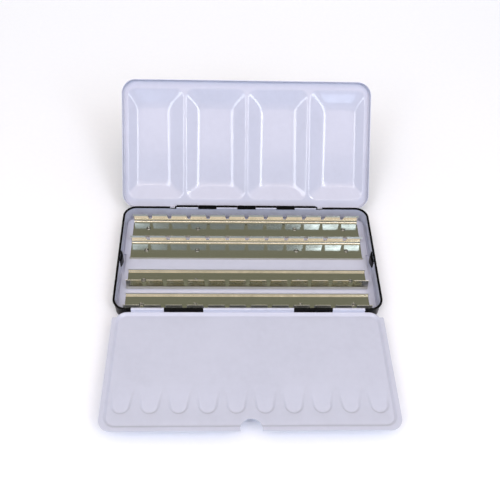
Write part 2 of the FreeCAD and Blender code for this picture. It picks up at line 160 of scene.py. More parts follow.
@dataclass(frozen=True)
class Enamel:
    """Stoved enamel on tinplate: a hard gloss coat with a faint orange peel and handling haze."""

    name: str
    clean: str
    worn: str
    gloss: float
    haze: float
    peel_mm: float
    peel_rise_mm: float
    shine: float = 0.5
    ior: float = 1.52
    cloud_mm: float = 38.0
    marks_mm: float = 6.0
    tint_span: Span = (0.12, 0.42)
    marks_span: Span = (0.35, 0.7)

    def make(self) -> bpy.types.Material:
        """Build the material.

        Returns:
            The material.
        """
        material, tree, place = new_material(self.name)
        # Broad, barely visible clouds where the coat is thicker or thinner.
        cloud = add_node(tree, "ShaderNodeTexNoise",
                         {"Vector": place, "Scale": per_mm(self.cloud_mm), "Detail": 2.0, "Roughness": 0.5})
        # Handling marks, drawn at 6 mm, coarser than real ones, so that they show.
        marks = add_node(tree, "ShaderNodeTexNoise",
                         {"Vector": place, "Scale": per_mm(self.marks_mm), "Detail": 4.0, "Roughness": 0.65})
        blend = add_node(tree, "ShaderNodeMath", {0: cloud, 1: marks}, operation="MULTIPLY")
        low, high = self.tint_span
        tint = add_node(tree, "ShaderNodeMapRange", {"Value": blend, "From Min": low, "From Max": high})
        colour = add_node(tree, "ShaderNodeMix",
                          {"Factor": tint, 6: linear(self.clean), 7: linear(self.worn)}, data_type="RGBA")
        # Gloss drops a little where the marks are.
        low, high = self.marks_span
        rough = add_node(tree, "ShaderNodeMapRange",
                         {"Value": marks, "From Min": low, "From Max": high,
                          "To Min": self.gloss, "To Max": self.gloss + self.haze})
        # Orange peel: the coat's slow waviness, which bends the highlights.
        peel = add_node(tree, "ShaderNodeTexNoise",
                        {"Vector": place, "Scale": per_mm(self.peel_mm), "Detail": 1.0, "Roughness": 0.4})
        bump = add_node(tree, "ShaderNodeBump",
                        {"Height": peel, "Distance": self.peel_rise_mm * MM, "Strength": 1.0})
        shader = add_node(tree, "ShaderNodeBsdfPrincipled",
                          {"Base Color": colour.outputs[2], "Roughness": rough, "Normal": bump,
                           "IOR": self.ior, "Specular IOR Level": self.shine})
        add_node(tree, "ShaderNodeOutputMaterial", {"Surface": shader})
        return material


@dataclass(frozen=True)
class TinPlate:
    """Bright rolled tinplate: a mirror with rolling lines along the strip and faint tin bloom."""

    name: str
    bright: str
    dull: str
    polish: float
    bloom: float
    line_mm: float = 0.7
    line_length_mm: float = 60.0
    line_rise_mm: float = 0.0004
    bloom_mm: float = 9.0
    polish_span: Span = (0.12, 0.42)

    def make(self) -> bpy.types.Material:
        """Build the material.

        Returns:
            The material.
        """
        material, tree, place = new_material(self.name)
        # Rolling lines: long along the strip, drawn coarser than real ones so that they show.
        stretch = add_node(tree, "ShaderNodeMapping",
                           {"Vector": place, "Scale": (self.line_mm / self.line_length_mm, 1.0, 1.0)})
        lines = add_node(tree, "ShaderNodeTexNoise",
                         {"Vector": stretch, "Scale": per_mm(self.line_mm), "Detail": 2.0})
        # Tin bloom: cloudy patches about 9 mm across where the tin froze duller.
        bloom = add_node(tree, "ShaderNodeTexNoise",
                         {"Vector": place, "Scale": per_mm(self.bloom_mm), "Detail": 3.0, "Distortion": 0.4})
        colour = add_node(tree, "ShaderNodeMix",
                          {"Factor": bloom, 6: linear(self.bright), 7: linear(self.dull)}, data_type="RGBA")
        both = add_node(tree, "ShaderNodeMath", {0: lines, 1: bloom}, operation="MULTIPLY")
        low, high = self.polish_span
        rough = add_node(tree, "ShaderNodeMapRange",
                         {"Value": both, "From Min": low, "From Max": high,
                          "To Min": self.polish, "To Max": self.polish + self.bloom})
        bump = add_node(tree, "ShaderNodeBump",
                        {"Height": lines, "Distance": self.line_rise_mm * MM, "Strength": 1.0})
        shader = add_node(tree, "ShaderNodeBsdfPrincipled",
                          {"Base Color": colour.outputs[2], "Roughness": rough, "Normal": bump,
                           "Metallic": 1.0})
        add_node(tree, "ShaderNodeOutputMaterial", {"Surface": shader})
        return material


@dataclass(frozen=True)
class PaperFloor:
    """Matt white studio paper with a faint fibre."""

    name: str = "studio_paper"
    light: str = "#f6f9ff"
    shade: str = "#f1f5fd"
    fibre_mm: float = 4.0
    dullness: float = 0.9
    shine: float = 0.1

    def make(self) -> bpy.types.Material:
        """Build the material.

        Returns:
            The material.
        """
        material, tree, place = new_material(self.name)
        # Fibre, drawn at 4 mm, coarser than a real one, so that it shows.
        fibre = add_node(tree, "ShaderNodeTexNoise",
                         {"Vector": place, "Scale": per_mm(self.fibre_mm), "Detail": 5.0})
        colour = add_node(tree, "ShaderNodeMix",
                          {"Factor": fibre, 6: linear(self.light), 7: linear(self.shade)}, data_type="RGBA")
        shader = add_node(tree, "ShaderNodeBsdfPrincipled",
                          {"Base Color": colour.outputs[2], "Roughness": self.dullness,
                           "Specular IOR Level": self.shine})
        add_node(tree, "ShaderNodeOutputMaterial", {"Surface": shader})
        return material


@dataclass
class Finishes:
    """Every finish of the tin, made once."""

    white: bpy.types.Material
    black: bpy.types.Material
    tin: bpy.types.Material
    rivet: bpy.types.Material
    wire: bpy.types.Material

    @classmethod
    def mixed(cls) -> "Finishes":
        """Mix the finishes.

        Returns:
            The finishes.
        """
        return cls(
            # White enamel with a cool cast: near-porcelain gloss and long clean highlights.
            white=Enamel("white_enamel", "#c4c8da", "#bfc3d5", gloss=0.06, haze=0.08,
                         peel_mm=5.0, peel_rise_mm=0.004).make(),
            # Black enamel: a soft gloss that shows its form only in the highlights.
            black=Enamel("black_enamel", "#040405", "#09090b", gloss=0.2, haze=0.16,
                         peel_mm=2.5, peel_rise_mm=0.006, shine=0.07).make(),
            # Tinplate of the rails, slightly yellowed: mirrors what stands on it.
            tin=TinPlate("bright_tinplate", "#d0cfc4", "#c2c1b3", polish=0.07, bloom=0.13).make(),
            # Rivets are the same tin, rougher, with a darker colour painted in as the shade round their
            # heads, so that they stand out on the rail.
            rivet=TinPlate("rivet_tin", "#a8a79e", "#7d7c75", polish=0.16, bloom=0.12,
                           line_mm=0.5, line_length_mm=2.0).make(),
            # Hinge wire: blackened steel, satin.
            wire=Enamel("blackened_wire", "#050506", "#0c0c0e", gloss=0.3, haze=0.15,
                        peel_mm=1.2, peel_rise_mm=0.004, shine=0.18).make(),
        )


# --------------------------------------------------------------------------
# Outlines
# --------------------------------------------------------------------------


def even(count: int) -> list[float]:
    """Fractions that cut a straight run into equal parts."""
    return [k / count for k in range(1, count)]


def angles(start: float, end: float, count: int) -> np.ndarray:
    """Angles in radians at equal steps between two in degrees."""
    return np.radians(np.linspace(start, end, count))


def arc(centre: Flat, radius: float, start: float, end: float, count: int) -> list[Flat]:
    """Points along an arc between two angles in degrees."""
    return [(centre[0] + radius * math.cos(a), centre[1] + radius * math.sin(a))
            for a in angles(start, end, count)]


def marked(half: float, marks: Iterable[float], spacing: float) -> list[float]:
    """Fractions along a run about zero, with a crisp pair of stops at each mark.

    Args:
        half: Half the run's length.
        marks: Distances from the middle that need a crisp step.
        spacing: Largest distance between other stops.

    Returns:
        Fractions in order, the same from either end.
    """
    pair = 0.02
    closest = spacing * 0.3
    stops: set[float] = set()
    for mark in marks:
        stops |= {round(mark - pair, 4), round(mark + pair, 4)}
    count = math.ceil(half / spacing)
    for k in range(count):
        stop = half * k / count
        if all(abs(stop - other) > closest for other in stops):
            stops.add(stop)
    signed = {s for s in stops if s < half - pair} | {-s for s in stops if s < half - pair}
    return sorted((s + half) / (2 * half) for s in signed)


def rounded_loop(x: Sequence[float], y: Sequence[float], radii: Sequence[float],
                 across: Sequence[float], along: Sequence[float], arc_steps: int = 8) -> Loop:
    """A rounded rectangle's points, anticlockwise from its front right corner.

    Args:
        x: Low and high X.
        y: Low and high Y.
        radii: Corner radius at low Y and at high Y.
        across: Fractions that divide the straight runs along X.
        along: Fractions that divide the straight runs along Y.
        arc_steps: Divisions of each corner.

    Returns:
        The points, one row each.
    """
    near, far = radii
    corners = (
        (x[1] - near, y[0] + near, near, -90.0, along),
        (x[1] - far, y[1] - far, far, 0.0, across),
        (x[0] + far, y[1] - far, far, 90.0, along),
        (x[0] + near, y[0] + near, near, 180.0, across),
    )
    arcs = []
    for cx, cy, radius, start, _ in corners:
        arcs.append(np.array(arc((cx, cy), radius, start, start + 90.0, arc_steps + 1)))
    points = []
    for k, bend in enumerate(arcs):
        points += list(bend)
        head = arcs[(k + 1) % 4][0]
        for fraction in corners[k][4]:
            points.append(bend[-1] + (head - bend[-1]) * fraction)
    return np.array(points)


def inside(outline: Loop, points: np.ndarray) -> np.ndarray:
    """Whether each point lies inside a closed outline, by the even-odd rule.

    Args:
        outline: The outline's points, one row each.
        points: The points to test.

    Returns:
        True for each point inside.
    """
    a = outline
    b = np.roll(outline, -1, axis=0)
    px = points[:, 0][:, None]
    py = points[:, 1][:, None]
    straddles = (a[:, 1] > py) != (b[:, 1] > py)
    rise = np.where(b[:, 1] == a[:, 1], NEVER_ZERO, b[:, 1] - a[:, 1])
    crossing = a[:, 0] + (py - a[:, 1]) * (b[:, 0] - a[:, 0]) / rise
    return (straddles & (px < crossing)).sum(axis=1) % 2 == 1


def depth_inside(outline: Loop, points: np.ndarray) -> np.ndarray:
    """Signed distance of points to an outline.

    Args:
        outline: The outline's points, one row each.
        points: The points to measure.

    Returns:
        The distances, positive inside.
    """
    a = outline[None, :, :]
    edge = np.roll(outline, -1, axis=0)[None, :, :] - a
    offset = points[:, None, :] - a
    length = np.maximum((edge ** 2).sum(axis=2), NEVER_ZERO)
    share = np.clip((offset * edge).sum(axis=2) / length, 0.0, 1.0)
    gap = np.sqrt(((offset - share[:, :, None] * edge) ** 2).sum(axis=2)).min(axis=1)
    return np.where(inside(outline, points), gap, -gap)


def eased_ramp(t: np.ndarray | float, foot: Sequence[float], head: Sequence[float]) -> np.ndarray:
    """A rise from 0 to 1 with both its corners rounded.

    Args:
        t: Where to read the ramp.
        foot: Where the rounding at the bottom starts and ends.
        head: Where the rounding at the top starts and ends.

    Returns:
        The ramp's height.
    """
    (a, b), (c, d) = foot, head
    slope = 1.0 / ((b - a) / 2 + (c - b) + (d - c) / 2)
    t = np.asarray(t, dtype=float)
    start = slope * np.clip(t - a, 0.0, b - a) ** 2 / (2 * (b - a))
    middle = slope * np.clip(t - b, 0.0, c - b)
    left = np.clip(d - t, 0.0, d - c)
    end = slope * ((d - c) ** 2 - left ** 2) / (2 * (d - c))
    return start + middle + end


# --------------------------------------------------------------------------
# Meshes
# --------------------------------------------------------------------------


def loop_edges(loops: Sequence[Sequence[Any]]) -> list[tuple[int, int]]:
    """Edges that close each of several loops.

    Args:
        loops: The loops, their points numbered on from one to the next.

    Returns:
        Pairs of point numbers.
    """
    edges = []
    start = 0
    for loop in loops:
        count = len(loop)
        edges += [(start + k, start + (k + 1) % count) for k in range(count)]
        start += count
    return edges


@dataclass
class Pressing:
    """Points and faces of one pressed sheet, gathered in millimetres."""

    points: list[Point] = field(default_factory=list)
    faces: list[tuple[int, ...]] = field(default_factory=list)

    def ring(self, loop: Loop, z: float | np.ndarray) -> list[int]:
        """Add a closed loop of points.

        Args:
            loop: X and Y of each point.
            z: One height, or one for each point.

        Returns:
            The points' numbers.
        """
        heights = np.broadcast_to(np.asarray(z, dtype=float), (len(loop),))
        start = len(self.points)
        self.points += [(float(p[0]), float(p[1]), float(h)) for p, h in zip(loop, heights)]
        return list(range(start, len(self.points)))

    def band(self, low: list[int], high: list[int]) -> None:
        """Join two rings of equal length with four-sided faces.

        Args:
            low: One ring's point numbers.
            high: The other's.
        """
        count = len(low)
        for k in range(count):
            following = (k + 1) % count
            self.faces.append((low[k], low[following], high[following], high[k]))

    def flat(self, outer: list[int], holes: Sequence[list[int]] = ()) -> None:
        """Fill a flat region between an outer ring and any holes.

        Args:
            outer: The outer ring.
            holes: Rings that stay open.
        """
        loops = [outer, *holes]
        ids = [i for loop in loops for i in loop]
        coords = [Vector(self.points[i][:2]) for i in ids]
        _, _, triangles, origins, _, _ = delaunay_2d_cdt(
            coords, loop_edges(loops), [], FILL_INSIDE, FLAT_MERGE)
        flat = np.array([self.points[i][:2] for i in ids])
        corners = np.array([[origins[v][0] for v in tri] for tri in triangles])
        centres = flat[corners].mean(axis=1)
        keep = np.ones(len(corners), dtype=bool)
        for loop in holes:
            keep &= ~inside(np.array([self.points[i][:2] for i in loop]), centres)
        self.faces += [tuple(ids[c] for c in tri) for tri, wanted in zip(corners, keep) if wanted]

    def drape(self, outline: Loop, guides: Sequence[Loop],
              height: Callable[[np.ndarray], np.ndarray]) -> None:
        """Fill an outline with triangles that follow guide loops, then lift them by a rule.

        Args:
            outline: The sheet's edge.
            guides: Closed loops that edges must follow.
            height: Gives the height at each point.
        """
        loops = [outline, *guides]
        coords = [Vector((float(p[0]), float(p[1]))) for loop in loops for p in loop]
        verts, _, triangles, _, _, _ = delaunay_2d_cdt(
            coords, loop_edges(loops), [], FILL_INSIDE, DRAPE_MERGE)
        flat = np.array([tuple(v) for v in verts])
        corners = np.array([tuple(tri) for tri in triangles])
        keep = inside(outline, flat[corners].mean(axis=1))
        start = len(self.points)
        self.points += [(float(p[0]), float(p[1]), float(h)) for p, h in zip(flat, height(flat))]
        self.faces += [tuple(int(start + c) for c in tri) for tri, wanted in zip(corners, keep) if wanted]

    def mesh(self, name: str, toward: Vector) -> bpy.types.Mesh:
        """Weld the sheet and turn its faces to one side.

        Args:
            name: The mesh's name.
            toward: The direction its faces look, on the whole.

        Returns:
            A mesh in metres.
        """
        work = bmesh.new()
        verts = [work.verts.new(Vector(p) * MM) for p in self.points]
        for face in self.faces:
            work.faces.new([verts[i] for i in face])
        bmesh.ops.remove_doubles(work, verts=work.verts, dist=WELD)
        bmesh.ops.dissolve_degenerate(work, edges=work.edges, dist=WELD / 2)
        loose = [v for v in work.verts if not v.link_faces]
        bmesh.ops.delete(work, geom=loose, context="VERTS")
        bmesh.ops.recalc_face_normals(work, faces=work.faces)
        facing = sum((f.normal * f.calc_area() for f in work.faces), Vector()).dot(toward)
        if facing < 0:
            bmesh.ops.reverse_faces(work, faces=work.faces)
        mesh = bpy.data.meshes.new(name)
        work.to_mesh(mesh)
        work.free()
        return mesh


def extrusion(outline: Sequence[Flat], spans: Iterable[Span], name: str) -> bpy.types.Mesh:
    """A closed (y, z) outline run along X over each span.

    Args:
        outline: Corner points in order, in millimetres.
        spans: Low and high X of each length.
        name: The mesh's name.

    Returns:
        A closed mesh in metres.
    """
    work = bmesh.new()
    for low, high in spans:
        ends = [[work.verts.new(Vector((x, y, z)) * MM) for y, z in outline] for x in (low, high)]
        count = len(outline)
        for k in range(count):
            n = (k + 1) % count
            work.faces.new((ends[0][k], ends[0][n], ends[1][n], ends[1][k]))
        work.faces.new(ends[0])
        work.faces.new(list(reversed(ends[1])))
    bmesh.ops.recalc_face_normals(work, faces=work.faces)
    mesh = bpy.data.meshes.new(name)
    work.to_mesh(mesh)
    work.free()
    return mesh


def joined(meshes: Sequence[bpy.types.Mesh], name: str) -> bpy.types.Mesh:
    """Join several meshes into one.

    Args:
        meshes: The meshes, which are removed.
        name: The new mesh's name.

    Returns:
        The mesh.
    """
    work = bmesh.new()
    for mesh in meshes:
        work.from_mesh(mesh)
    result = bpy.data.meshes.new(name)
    work.to_mesh(result)
    work.free()
    for mesh in meshes:
        bpy.data.meshes.remove(mesh)
    return result


def linked(name: str, mesh: bpy.types.Mesh) -> bpy.types.Object:
    """Put a mesh in the scene.

    Args:
        name: The object's name.
        mesh: Its mesh.

    Returns:
        The object.
    """
    piece = bpy.data.objects.new(name, mesh)
    bpy.context.scene.collection.objects.link(piece)
    return piece


def evaluated_mesh(source: bpy.types.Object) -> bpy.types.Mesh:
    """Turn an object with modifiers into a plain mesh.

    Args:
        source: The object, which is removed.

    Returns:
        The mesh that its modifiers give.
    """
    graph = bpy.context.evaluated_depsgraph_get()
    mesh = bpy.data.meshes.new_from_object(source.evaluated_get(graph))
    source.modifiers.clear()
    bpy.data.objects.remove(source)
    return mesh


def thickened(mesh: bpy.types.Mesh, thickness: float, back_slot: int = 0,
              edge_slot: int = 0) -> bpy.types.Mesh:
    """Give a sheet its thickness behind its faces.

    Args:
        mesh: The sheet, its faces towards the visible side.
        thickness: In millimetres.
        back_slot: How many material slots on the back's finish is.
        edge_slot: The same for the cut edge.

    Returns:
        The closed mesh.
    """
    source = linked("sheet_in_work", mesh)
    for _ in range(2):
        mesh.materials.append(None)
    wall = source.modifiers.new("wall", "SOLIDIFY")
    wall.thickness = thickness * MM
    wall.offset = -1.0
    wall.use_even_offset = True
    wall.use_quality_normals = True
    wall.material_offset = back_slot
    wall.material_offset_rim = edge_slot
    return evaluated_mesh(source)


def finish_piece(name: str, mesh: bpy.types.Mesh, body: Body,
                 materials: Sequence[bpy.types.Material], crisp: float = 40.0) -> bpy.types.Object:
    """Dress a mesh, hang it on its body and log it.

    Args:
        name: The piece's name.
        mesh: Its mesh, in place.
        body: The body it rides on.
        materials: Its finishes in slot order.
        crisp: Edges sharper than this angle keep a crisp shade.

    Returns:
        The finished piece.
    """
    mesh.name = name
    chosen = np.zeros(len(mesh.polygons), dtype=np.int32)
    mesh.polygons.foreach_get("material_index", chosen)
    mesh.materials.clear()
    for material in materials:
        mesh.materials.append(material)
    mesh.polygons.foreach_set("material_index", np.minimum(chosen, len(materials) - 1))
    mesh.polygons.foreach_set("use_smooth", [True] * len(mesh.polygons))
    mesh.set_sharp_from_angle(angle=math.radians(crisp))
    piece = linked(name, mesh)
    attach(piece, body.value)
    LOG.info("%s: %d faces on %s", name, len(mesh.polygons), body.value)
    return piece


def hinge_turn(y: float, z: float, degrees: float) -> Matrix:
    """The turn about a hinge line along X, in metres.

    Args:
        y: The line's Y in millimetres.
        z: The line's Z in millimetres.
        degrees: How far, from +Y towards +Z.

    Returns:
        The turn.
    """
    axis = Vector((0.0, y, z)) * MM
    turn = Matrix.Rotation(math.radians(degrees), 4, "X")
    return Matrix.Translation(axis) @ turn @ Matrix.Translation(-axis)


# --------------------------------------------------------------------------
# Geometry Nodes
# --------------------------------------------------------------------------


class NodeRig:
    """A geometry node tree with named inputs, and the run that turns it into a mesh."""

    def __init__(self, name: str, inputs: dict[str, str]) -> None:
        """Make the tree's interface.

        Args:
            name: The tree's name.
            inputs: Name to socket type, without its NodeSocket prefix.
        """
        self.tree = bpy.data.node_groups.new(name, "GeometryNodeTree")
        face = self.tree.interface
        face.new_socket(name="Geometry", in_out="INPUT", socket_type="NodeSocketGeometry")
        for label, kind in {**inputs, "Finish": "Material"}.items():
            face.new_socket(name=label, in_out="INPUT", socket_type="NodeSocket" + kind)
        face.new_socket(name="Geometry", in_out="OUTPUT", socket_type="NodeSocketGeometry")
        self.inputs = add_node(self.tree, "NodeGroupInput").outputs

    def close(self, geometry: bpy.types.Node) -> None:
        """End the tree: smooth shading, the finish and the output.

        Args:
            geometry: The node whose first output is finished.
        """
        smooth = add_node(self.tree, "GeometryNodeSetShadeSmooth", {"Geometry": geometry})
        dressed = add_node(self.tree, "GeometryNodeSetMaterial",
                           {"Geometry": smooth, "Material": self.inputs["Finish"]})
        add_node(self.tree, "NodeGroupOutput", {"Geometry": dressed})

    def run(self, seed: bpy.types.Mesh, values: dict[str, Any]) -> bpy.types.Mesh:
        """Grow a mesh from a seed.

        Args:
            seed: Points or edges the tree starts from.
            values: Named input to its value.

        Returns:
            The plain mesh.
        """
        source = linked("seed_in_work", seed)
        modifier = source.modifiers.new("grow", "NODES")
        modifier.node_group = self.tree
        for item in self.tree.interface.items_tree:
            if item.in_out == "INPUT" and item.name in values:
                modifier[item.identifier] = values[item.name]
        return evaluated_mesh(source)


def seed_points(points: Sequence[Point], **attributes: Sequence[float]) -> bpy.types.Mesh:
    """Loose points for a node tree to start from.

    Args:
        points: The places in millimetres.
        **attributes: Lengths in millimetres, one for each point.

    Returns:
        The points in metres.
    """
    mesh = bpy.data.meshes.new("seed")
    mesh.from_pydata([Vector(p) * MM for p in points], [], [])
    for name, values in attributes.items():
        layer = mesh.attributes.new(name, "FLOAT", "POINT")
        layer.data.foreach_set("value", [v * MM for v in values])
    return mesh


def seed_path(paths: Sequence[Sequence[Point]]) -> bpy.types.Mesh:
    """Open lines for a node tree to follow.

    Args:
        paths: The points of each line in millimetres.

    Returns:
        The lines in metres.
    """
    points: list[Vector] = []
    edges: list[tuple[int, int]] = []
    for path in paths:
        start = len(points)
        points += [Vector(p) * MM for p in path]
        edges += [(start + k, start + k + 1) for k in range(len(path) - 1)]
    mesh = bpy.data.meshes.new("seed")
    mesh.from_pydata(points, edges, [])
    return mesh


def bead_rig() -> NodeRig:
    """A round bead along a path, its ends closed.

    Returns:
        The tree.
    """
    rig = NodeRig("rolled_bead", {"Radius": "Float", "Sides": "Int"})
    tree, inputs = rig.tree, rig.inputs
    path = add_node(tree, "GeometryNodeMeshToCurve", {"Mesh": inputs["Geometry"]})
    ring = add_node(tree, "GeometryNodeCurvePrimitiveCircle",
                    {"Resolution": inputs["Sides"], "Radius": inputs["Radius"]})
    tube = add_node(tree, "GeometryNodeCurveToMesh",
                    {"Curve": path, "Profile Curve": ring, "Fill Caps": True})
    rig.close(add_node(tree, "GeometryNodeRealizeInstances", {"Geometry": tube}))
    return rig


def knuckle_rig() -> NodeRig:
    """Rolled knuckles on a wire: one curl of sheet per point, as long as its span says.

    Returns:
        The tree.
    """
    rig = NodeRig("rolled_knuckles", {"Radius": "Float", "Start": "Float", "Sweep": "Float", "Steps": "Int"})
    tree, inputs = rig.tree, rig.inputs
    grid = add_node(tree, "GeometryNodeMeshGrid",
                    {"Size X": 1.0, "Size Y": 1.0, "Vertices X": 2, "Vertices Y": inputs["Steps"]})
    here = add_node(tree, "ShaderNodeSeparateXYZ", {0: add_node(tree, "GeometryNodeInputPosition")})
    # The grid's middle is at zero, so half a grid more gives the share of the roll.
    share = add_node(tree, "ShaderNodeMath", {0: here.outputs["Y"], 1: 0.5}, operation="ADD")
    angle = add_node(tree, "ShaderNodeMath", {0: share, 1: inputs["Sweep"], 2: inputs["Start"]},
                     operation="MULTIPLY_ADD")
    across = add_node(tree, "ShaderNodeMath", {0: angle}, operation="COSINE")
    above = add_node(tree, "ShaderNodeMath", {0: angle}, operation="SINE")
    y = add_node(tree, "ShaderNodeMath", {0: across, 1: inputs["Radius"]}, operation="MULTIPLY")
    z = add_node(tree, "ShaderNodeMath", {0: above, 1: inputs["Radius"]}, operation="MULTIPLY")
    curl = add_node(tree, "ShaderNodeCombineXYZ", {"X": here.outputs["X"], "Y": y, "Z": z})
    rolled = add_node(tree, "GeometryNodeSetPosition", {"Geometry": grid, "Position": curl})
    outward = add_node(tree, "GeometryNodeFlipFaces", {0: rolled})
    span = add_node(tree, "GeometryNodeInputNamedAttribute", {"Name": "span"}, data_type="FLOAT")
    length = add_node(tree, "ShaderNodeCombineXYZ", {"X": span, "Y": 1.0, "Z": 1.0})
    placed = add_node(tree, "GeometryNodeInstanceOnPoints",
                      {"Points": inputs["Geometry"], "Instance": outward, "Scale": length})
    rig.close(add_node(tree, "GeometryNodeRealizeInstances", {"Geometry": placed}))
    return rig


def tab_rig() -> NodeRig:
    """A row of sprung tabs: each point gives one tab its foot width, top width and lean-over.

    Returns:
        The tree.
    """
    rig = NodeRig("sprung_tabs", {"Height": "Float", "Lead In": "Float", "Lean": "Float",
                                  "Lead Out": "Float", "Side": "Float", "Rows": "Int"})
    tree, inputs = rig.tree, rig.inputs
    grid = add_node(tree, "GeometryNodeMeshGrid",
                    {"Size X": 1.0, "Size Y": 1.0, "Vertices X": 2, "Vertices Y": inputs["Rows"]})
    # Each point of the flat blank remembers where it was before the tabs are placed.
    kept = add_node(tree, "GeometryNodeStoreNamedAttribute",
                    {"Geometry": grid, "Name": "blank", "Value": add_node(tree, "GeometryNodeInputPosition")},
                    data_type="FLOAT_VECTOR", domain="POINT")
    placed = add_node(tree, "GeometryNodeInstanceOnPoints", {"Points": inputs["Geometry"], "Instance": kept})
    solid = add_node(tree, "GeometryNodeRealizeInstances", {"Geometry": placed})
    blank = add_node(tree, "GeometryNodeInputNamedAttribute", {"Name": "blank"}, data_type="FLOAT_VECTOR")
    local = add_node(tree, "ShaderNodeSeparateXYZ", {0: blank})
    foot, top, skew = (add_node(tree, "GeometryNodeInputNamedAttribute", {"Name": name}, data_type="FLOAT")
                       for name in ("foot", "top", "skew"))
    up = add_node(tree, "ShaderNodeMath", {0: local.outputs["Y"], 1: 0.5}, operation="ADD")
    rise = add_node(tree, "ShaderNodeMath", {0: up, 1: inputs["Height"]}, operation="MULTIPLY")
    # The tab narrows from its foot to its top, and an end tab leans over as it does.
    growth = add_node(tree, "ShaderNodeMath", {0: top, 1: foot}, operation="SUBTRACT")
    width = add_node(tree, "ShaderNodeMath", {0: growth, 1: up, 2: foot}, operation="MULTIPLY_ADD")
    drift = add_node(tree, "ShaderNodeMath", {0: skew, 1: up}, operation="MULTIPLY")
    along = add_node(tree, "ShaderNodeMath", {0: local.outputs["X"], 1: width, 2: drift},
                     operation="MULTIPLY_ADD")
    # It leans over the floor up to the lead-in, which flicks back out.
    bend = add_node(tree, "ShaderNodeMath", {0: inputs["Height"], 1: inputs["Lead In"]}, operation="SUBTRACT")
    lean = add_node(tree, "ShaderNodeMapRange", {"Value": rise, "From Max": bend, "To Max": inputs["Lean"]})
    flick = add_node(tree, "ShaderNodeMapRange",
                     {"Value": rise, "From Min": bend, "From Max": inputs["Height"],
                      "To Max": inputs["Lead Out"]})
    outward = add_node(tree, "ShaderNodeMath", {0: flick, 1: lean}, operation="SUBTRACT")
    over = add_node(tree, "ShaderNodeMath", {0: outward, 1: inputs["Side"]}, operation="MULTIPLY")
    shift_x = add_node(tree, "ShaderNodeMath", {0: along, 1: local.outputs["X"]}, operation="SUBTRACT")
    shift_y = add_node(tree, "ShaderNodeMath", {0: over, 1: local.outputs["Y"]}, operation="SUBTRACT")
    offset = add_node(tree, "ShaderNodeCombineXYZ", {"X": shift_x, "Y": shift_y, "Z": rise})
    rig.close(add_node(tree, "GeometryNodeSetPosition", {"Geometry": solid, "Offset": offset}))
    return rig


# A rivet head's height over its radius, both as shares: low eye, round crown, edge on the rail.
RIVET_EYE = (0.0, 0.2)
RIVET_EDGE = (1.0, 0.05)
RIVET_CROWN = ((0.36, 0.22), (0.48, 0.94), (0.64, 1.0), (0.86, 0.72))


def rivet_rig() -> NodeRig:
    """Rivet heads: a turned disc per point, domed, with the setting tool's eye in the middle.

    Returns:
        The tree.
    """
    rig = NodeRig("rivet_heads", {"Radius": "Float", "Height": "Float", "Sides": "Int", "Rings": "Int"})
    tree, inputs = rig.tree, rig.inputs
    disc = add_node(tree, "GeometryNodeMeshCylinder",
                    {"Vertices": inputs["Sides"], "Fill Segments": inputs["Rings"],
                     "Radius": inputs["Radius"], "Depth": inputs["Height"]})
    here = add_node(tree, "GeometryNodeInputPosition")
    flat = add_node(tree, "ShaderNodeVectorMath", {0: here, 1: (1.0, 1.0, 0.0)}, operation="MULTIPLY")
    reach = add_node(tree, "ShaderNodeVectorMath", {0: flat}, operation="LENGTH")
    share = add_node(tree, "ShaderNodeMath", {0: reach.outputs["Value"], 1: inputs["Radius"]},
                     operation="DIVIDE")
    profile = add_node(tree, "ShaderNodeFloatCurve", {"Value": share})
    curve = profile.mapping.curves[0]
    curve.points[0].location = RIVET_EYE
    curve.points[1].location = RIVET_EDGE
    for x, y in RIVET_CROWN:
        curve.points.new(x, y)
    profile.mapping.update()
    below = add_node(tree, "ShaderNodeMath", {0: profile, 1: 1.0}, operation="SUBTRACT")
    drop = add_node(tree, "ShaderNodeMath", {0: below, 1: inputs["Height"]}, operation="MULTIPLY")
    lowered = add_node(tree, "ShaderNodeCombineXYZ", {"Z": drop})
    domed = add_node(tree, "GeometryNodeSetPosition",
                     {"Geometry": disc, "Selection": disc.outputs["Top"], "Offset": lowered})
    placed = add_node(tree, "GeometryNodeInstanceOnPoints", {"Points": inputs["Geometry"], "Instance": domed})
    rig.close(add_node(tree, "GeometryNodeRealizeInstances", {"Geometry": placed}))
    return rig


@dataclass
class Rigs:
    """The node trees, made once."""

    bead: NodeRig
    knuckle: NodeRig
    tab: NodeRig
    rivet: NodeRig

    @classmethod
    def built(cls) -> "Rigs":
        """Build the trees."""
        return cls(bead_rig(), knuckle_rig(), tab_rig(), rivet_rig())


# --------------------------------------------------------------------------
# Sub-assemblies
# --------------------------------------------------------------------------


@dataclass
class Hinge:
    """One wire hinge along X: its line and the sheet that rolls round it."""

    y: float
    z: float
    radius: float
    sheet: float = 0.5
    curl_points: int = 37

    def curls(self, rigs: Rigs, spans: Spans, roll: Span, finish: bpy.types.Material) -> bpy.types.Mesh:
        """Rolled knuckles over spans of X.

        Args:
            rigs: The node trees.
            spans: Low and high X of each knuckle.
            roll: Where the curl starts, in degrees from +Y towards +Z, and how far it rolls.
            finish: Its finish.

        Returns:
            The knuckles with their sheet's thickness.
        """
        seed = seed_points([((a + b) / 2, self.y, self.z) for a, b in spans], span=[b - a for a, b in spans])
        start, sweep = (math.radians(angle) for angle in roll)
        rolled = rigs.knuckle.run(seed, {"Radius": self.radius * MM, "Start": start, "Sweep": sweep,
                                         "Steps": self.curl_points, "Finish": finish})
        curls = thickened(rolled, self.sheet)
        curls.polygons.foreach_set("material_index", [0] * len(curls.polygons))
        return curls


REAR_HINGE = Hinge(y=58.45, z=14.8, radius=1.3)
FRONT_HINGE = Hinge(y=-57.0, z=14.6, radius=1.4)


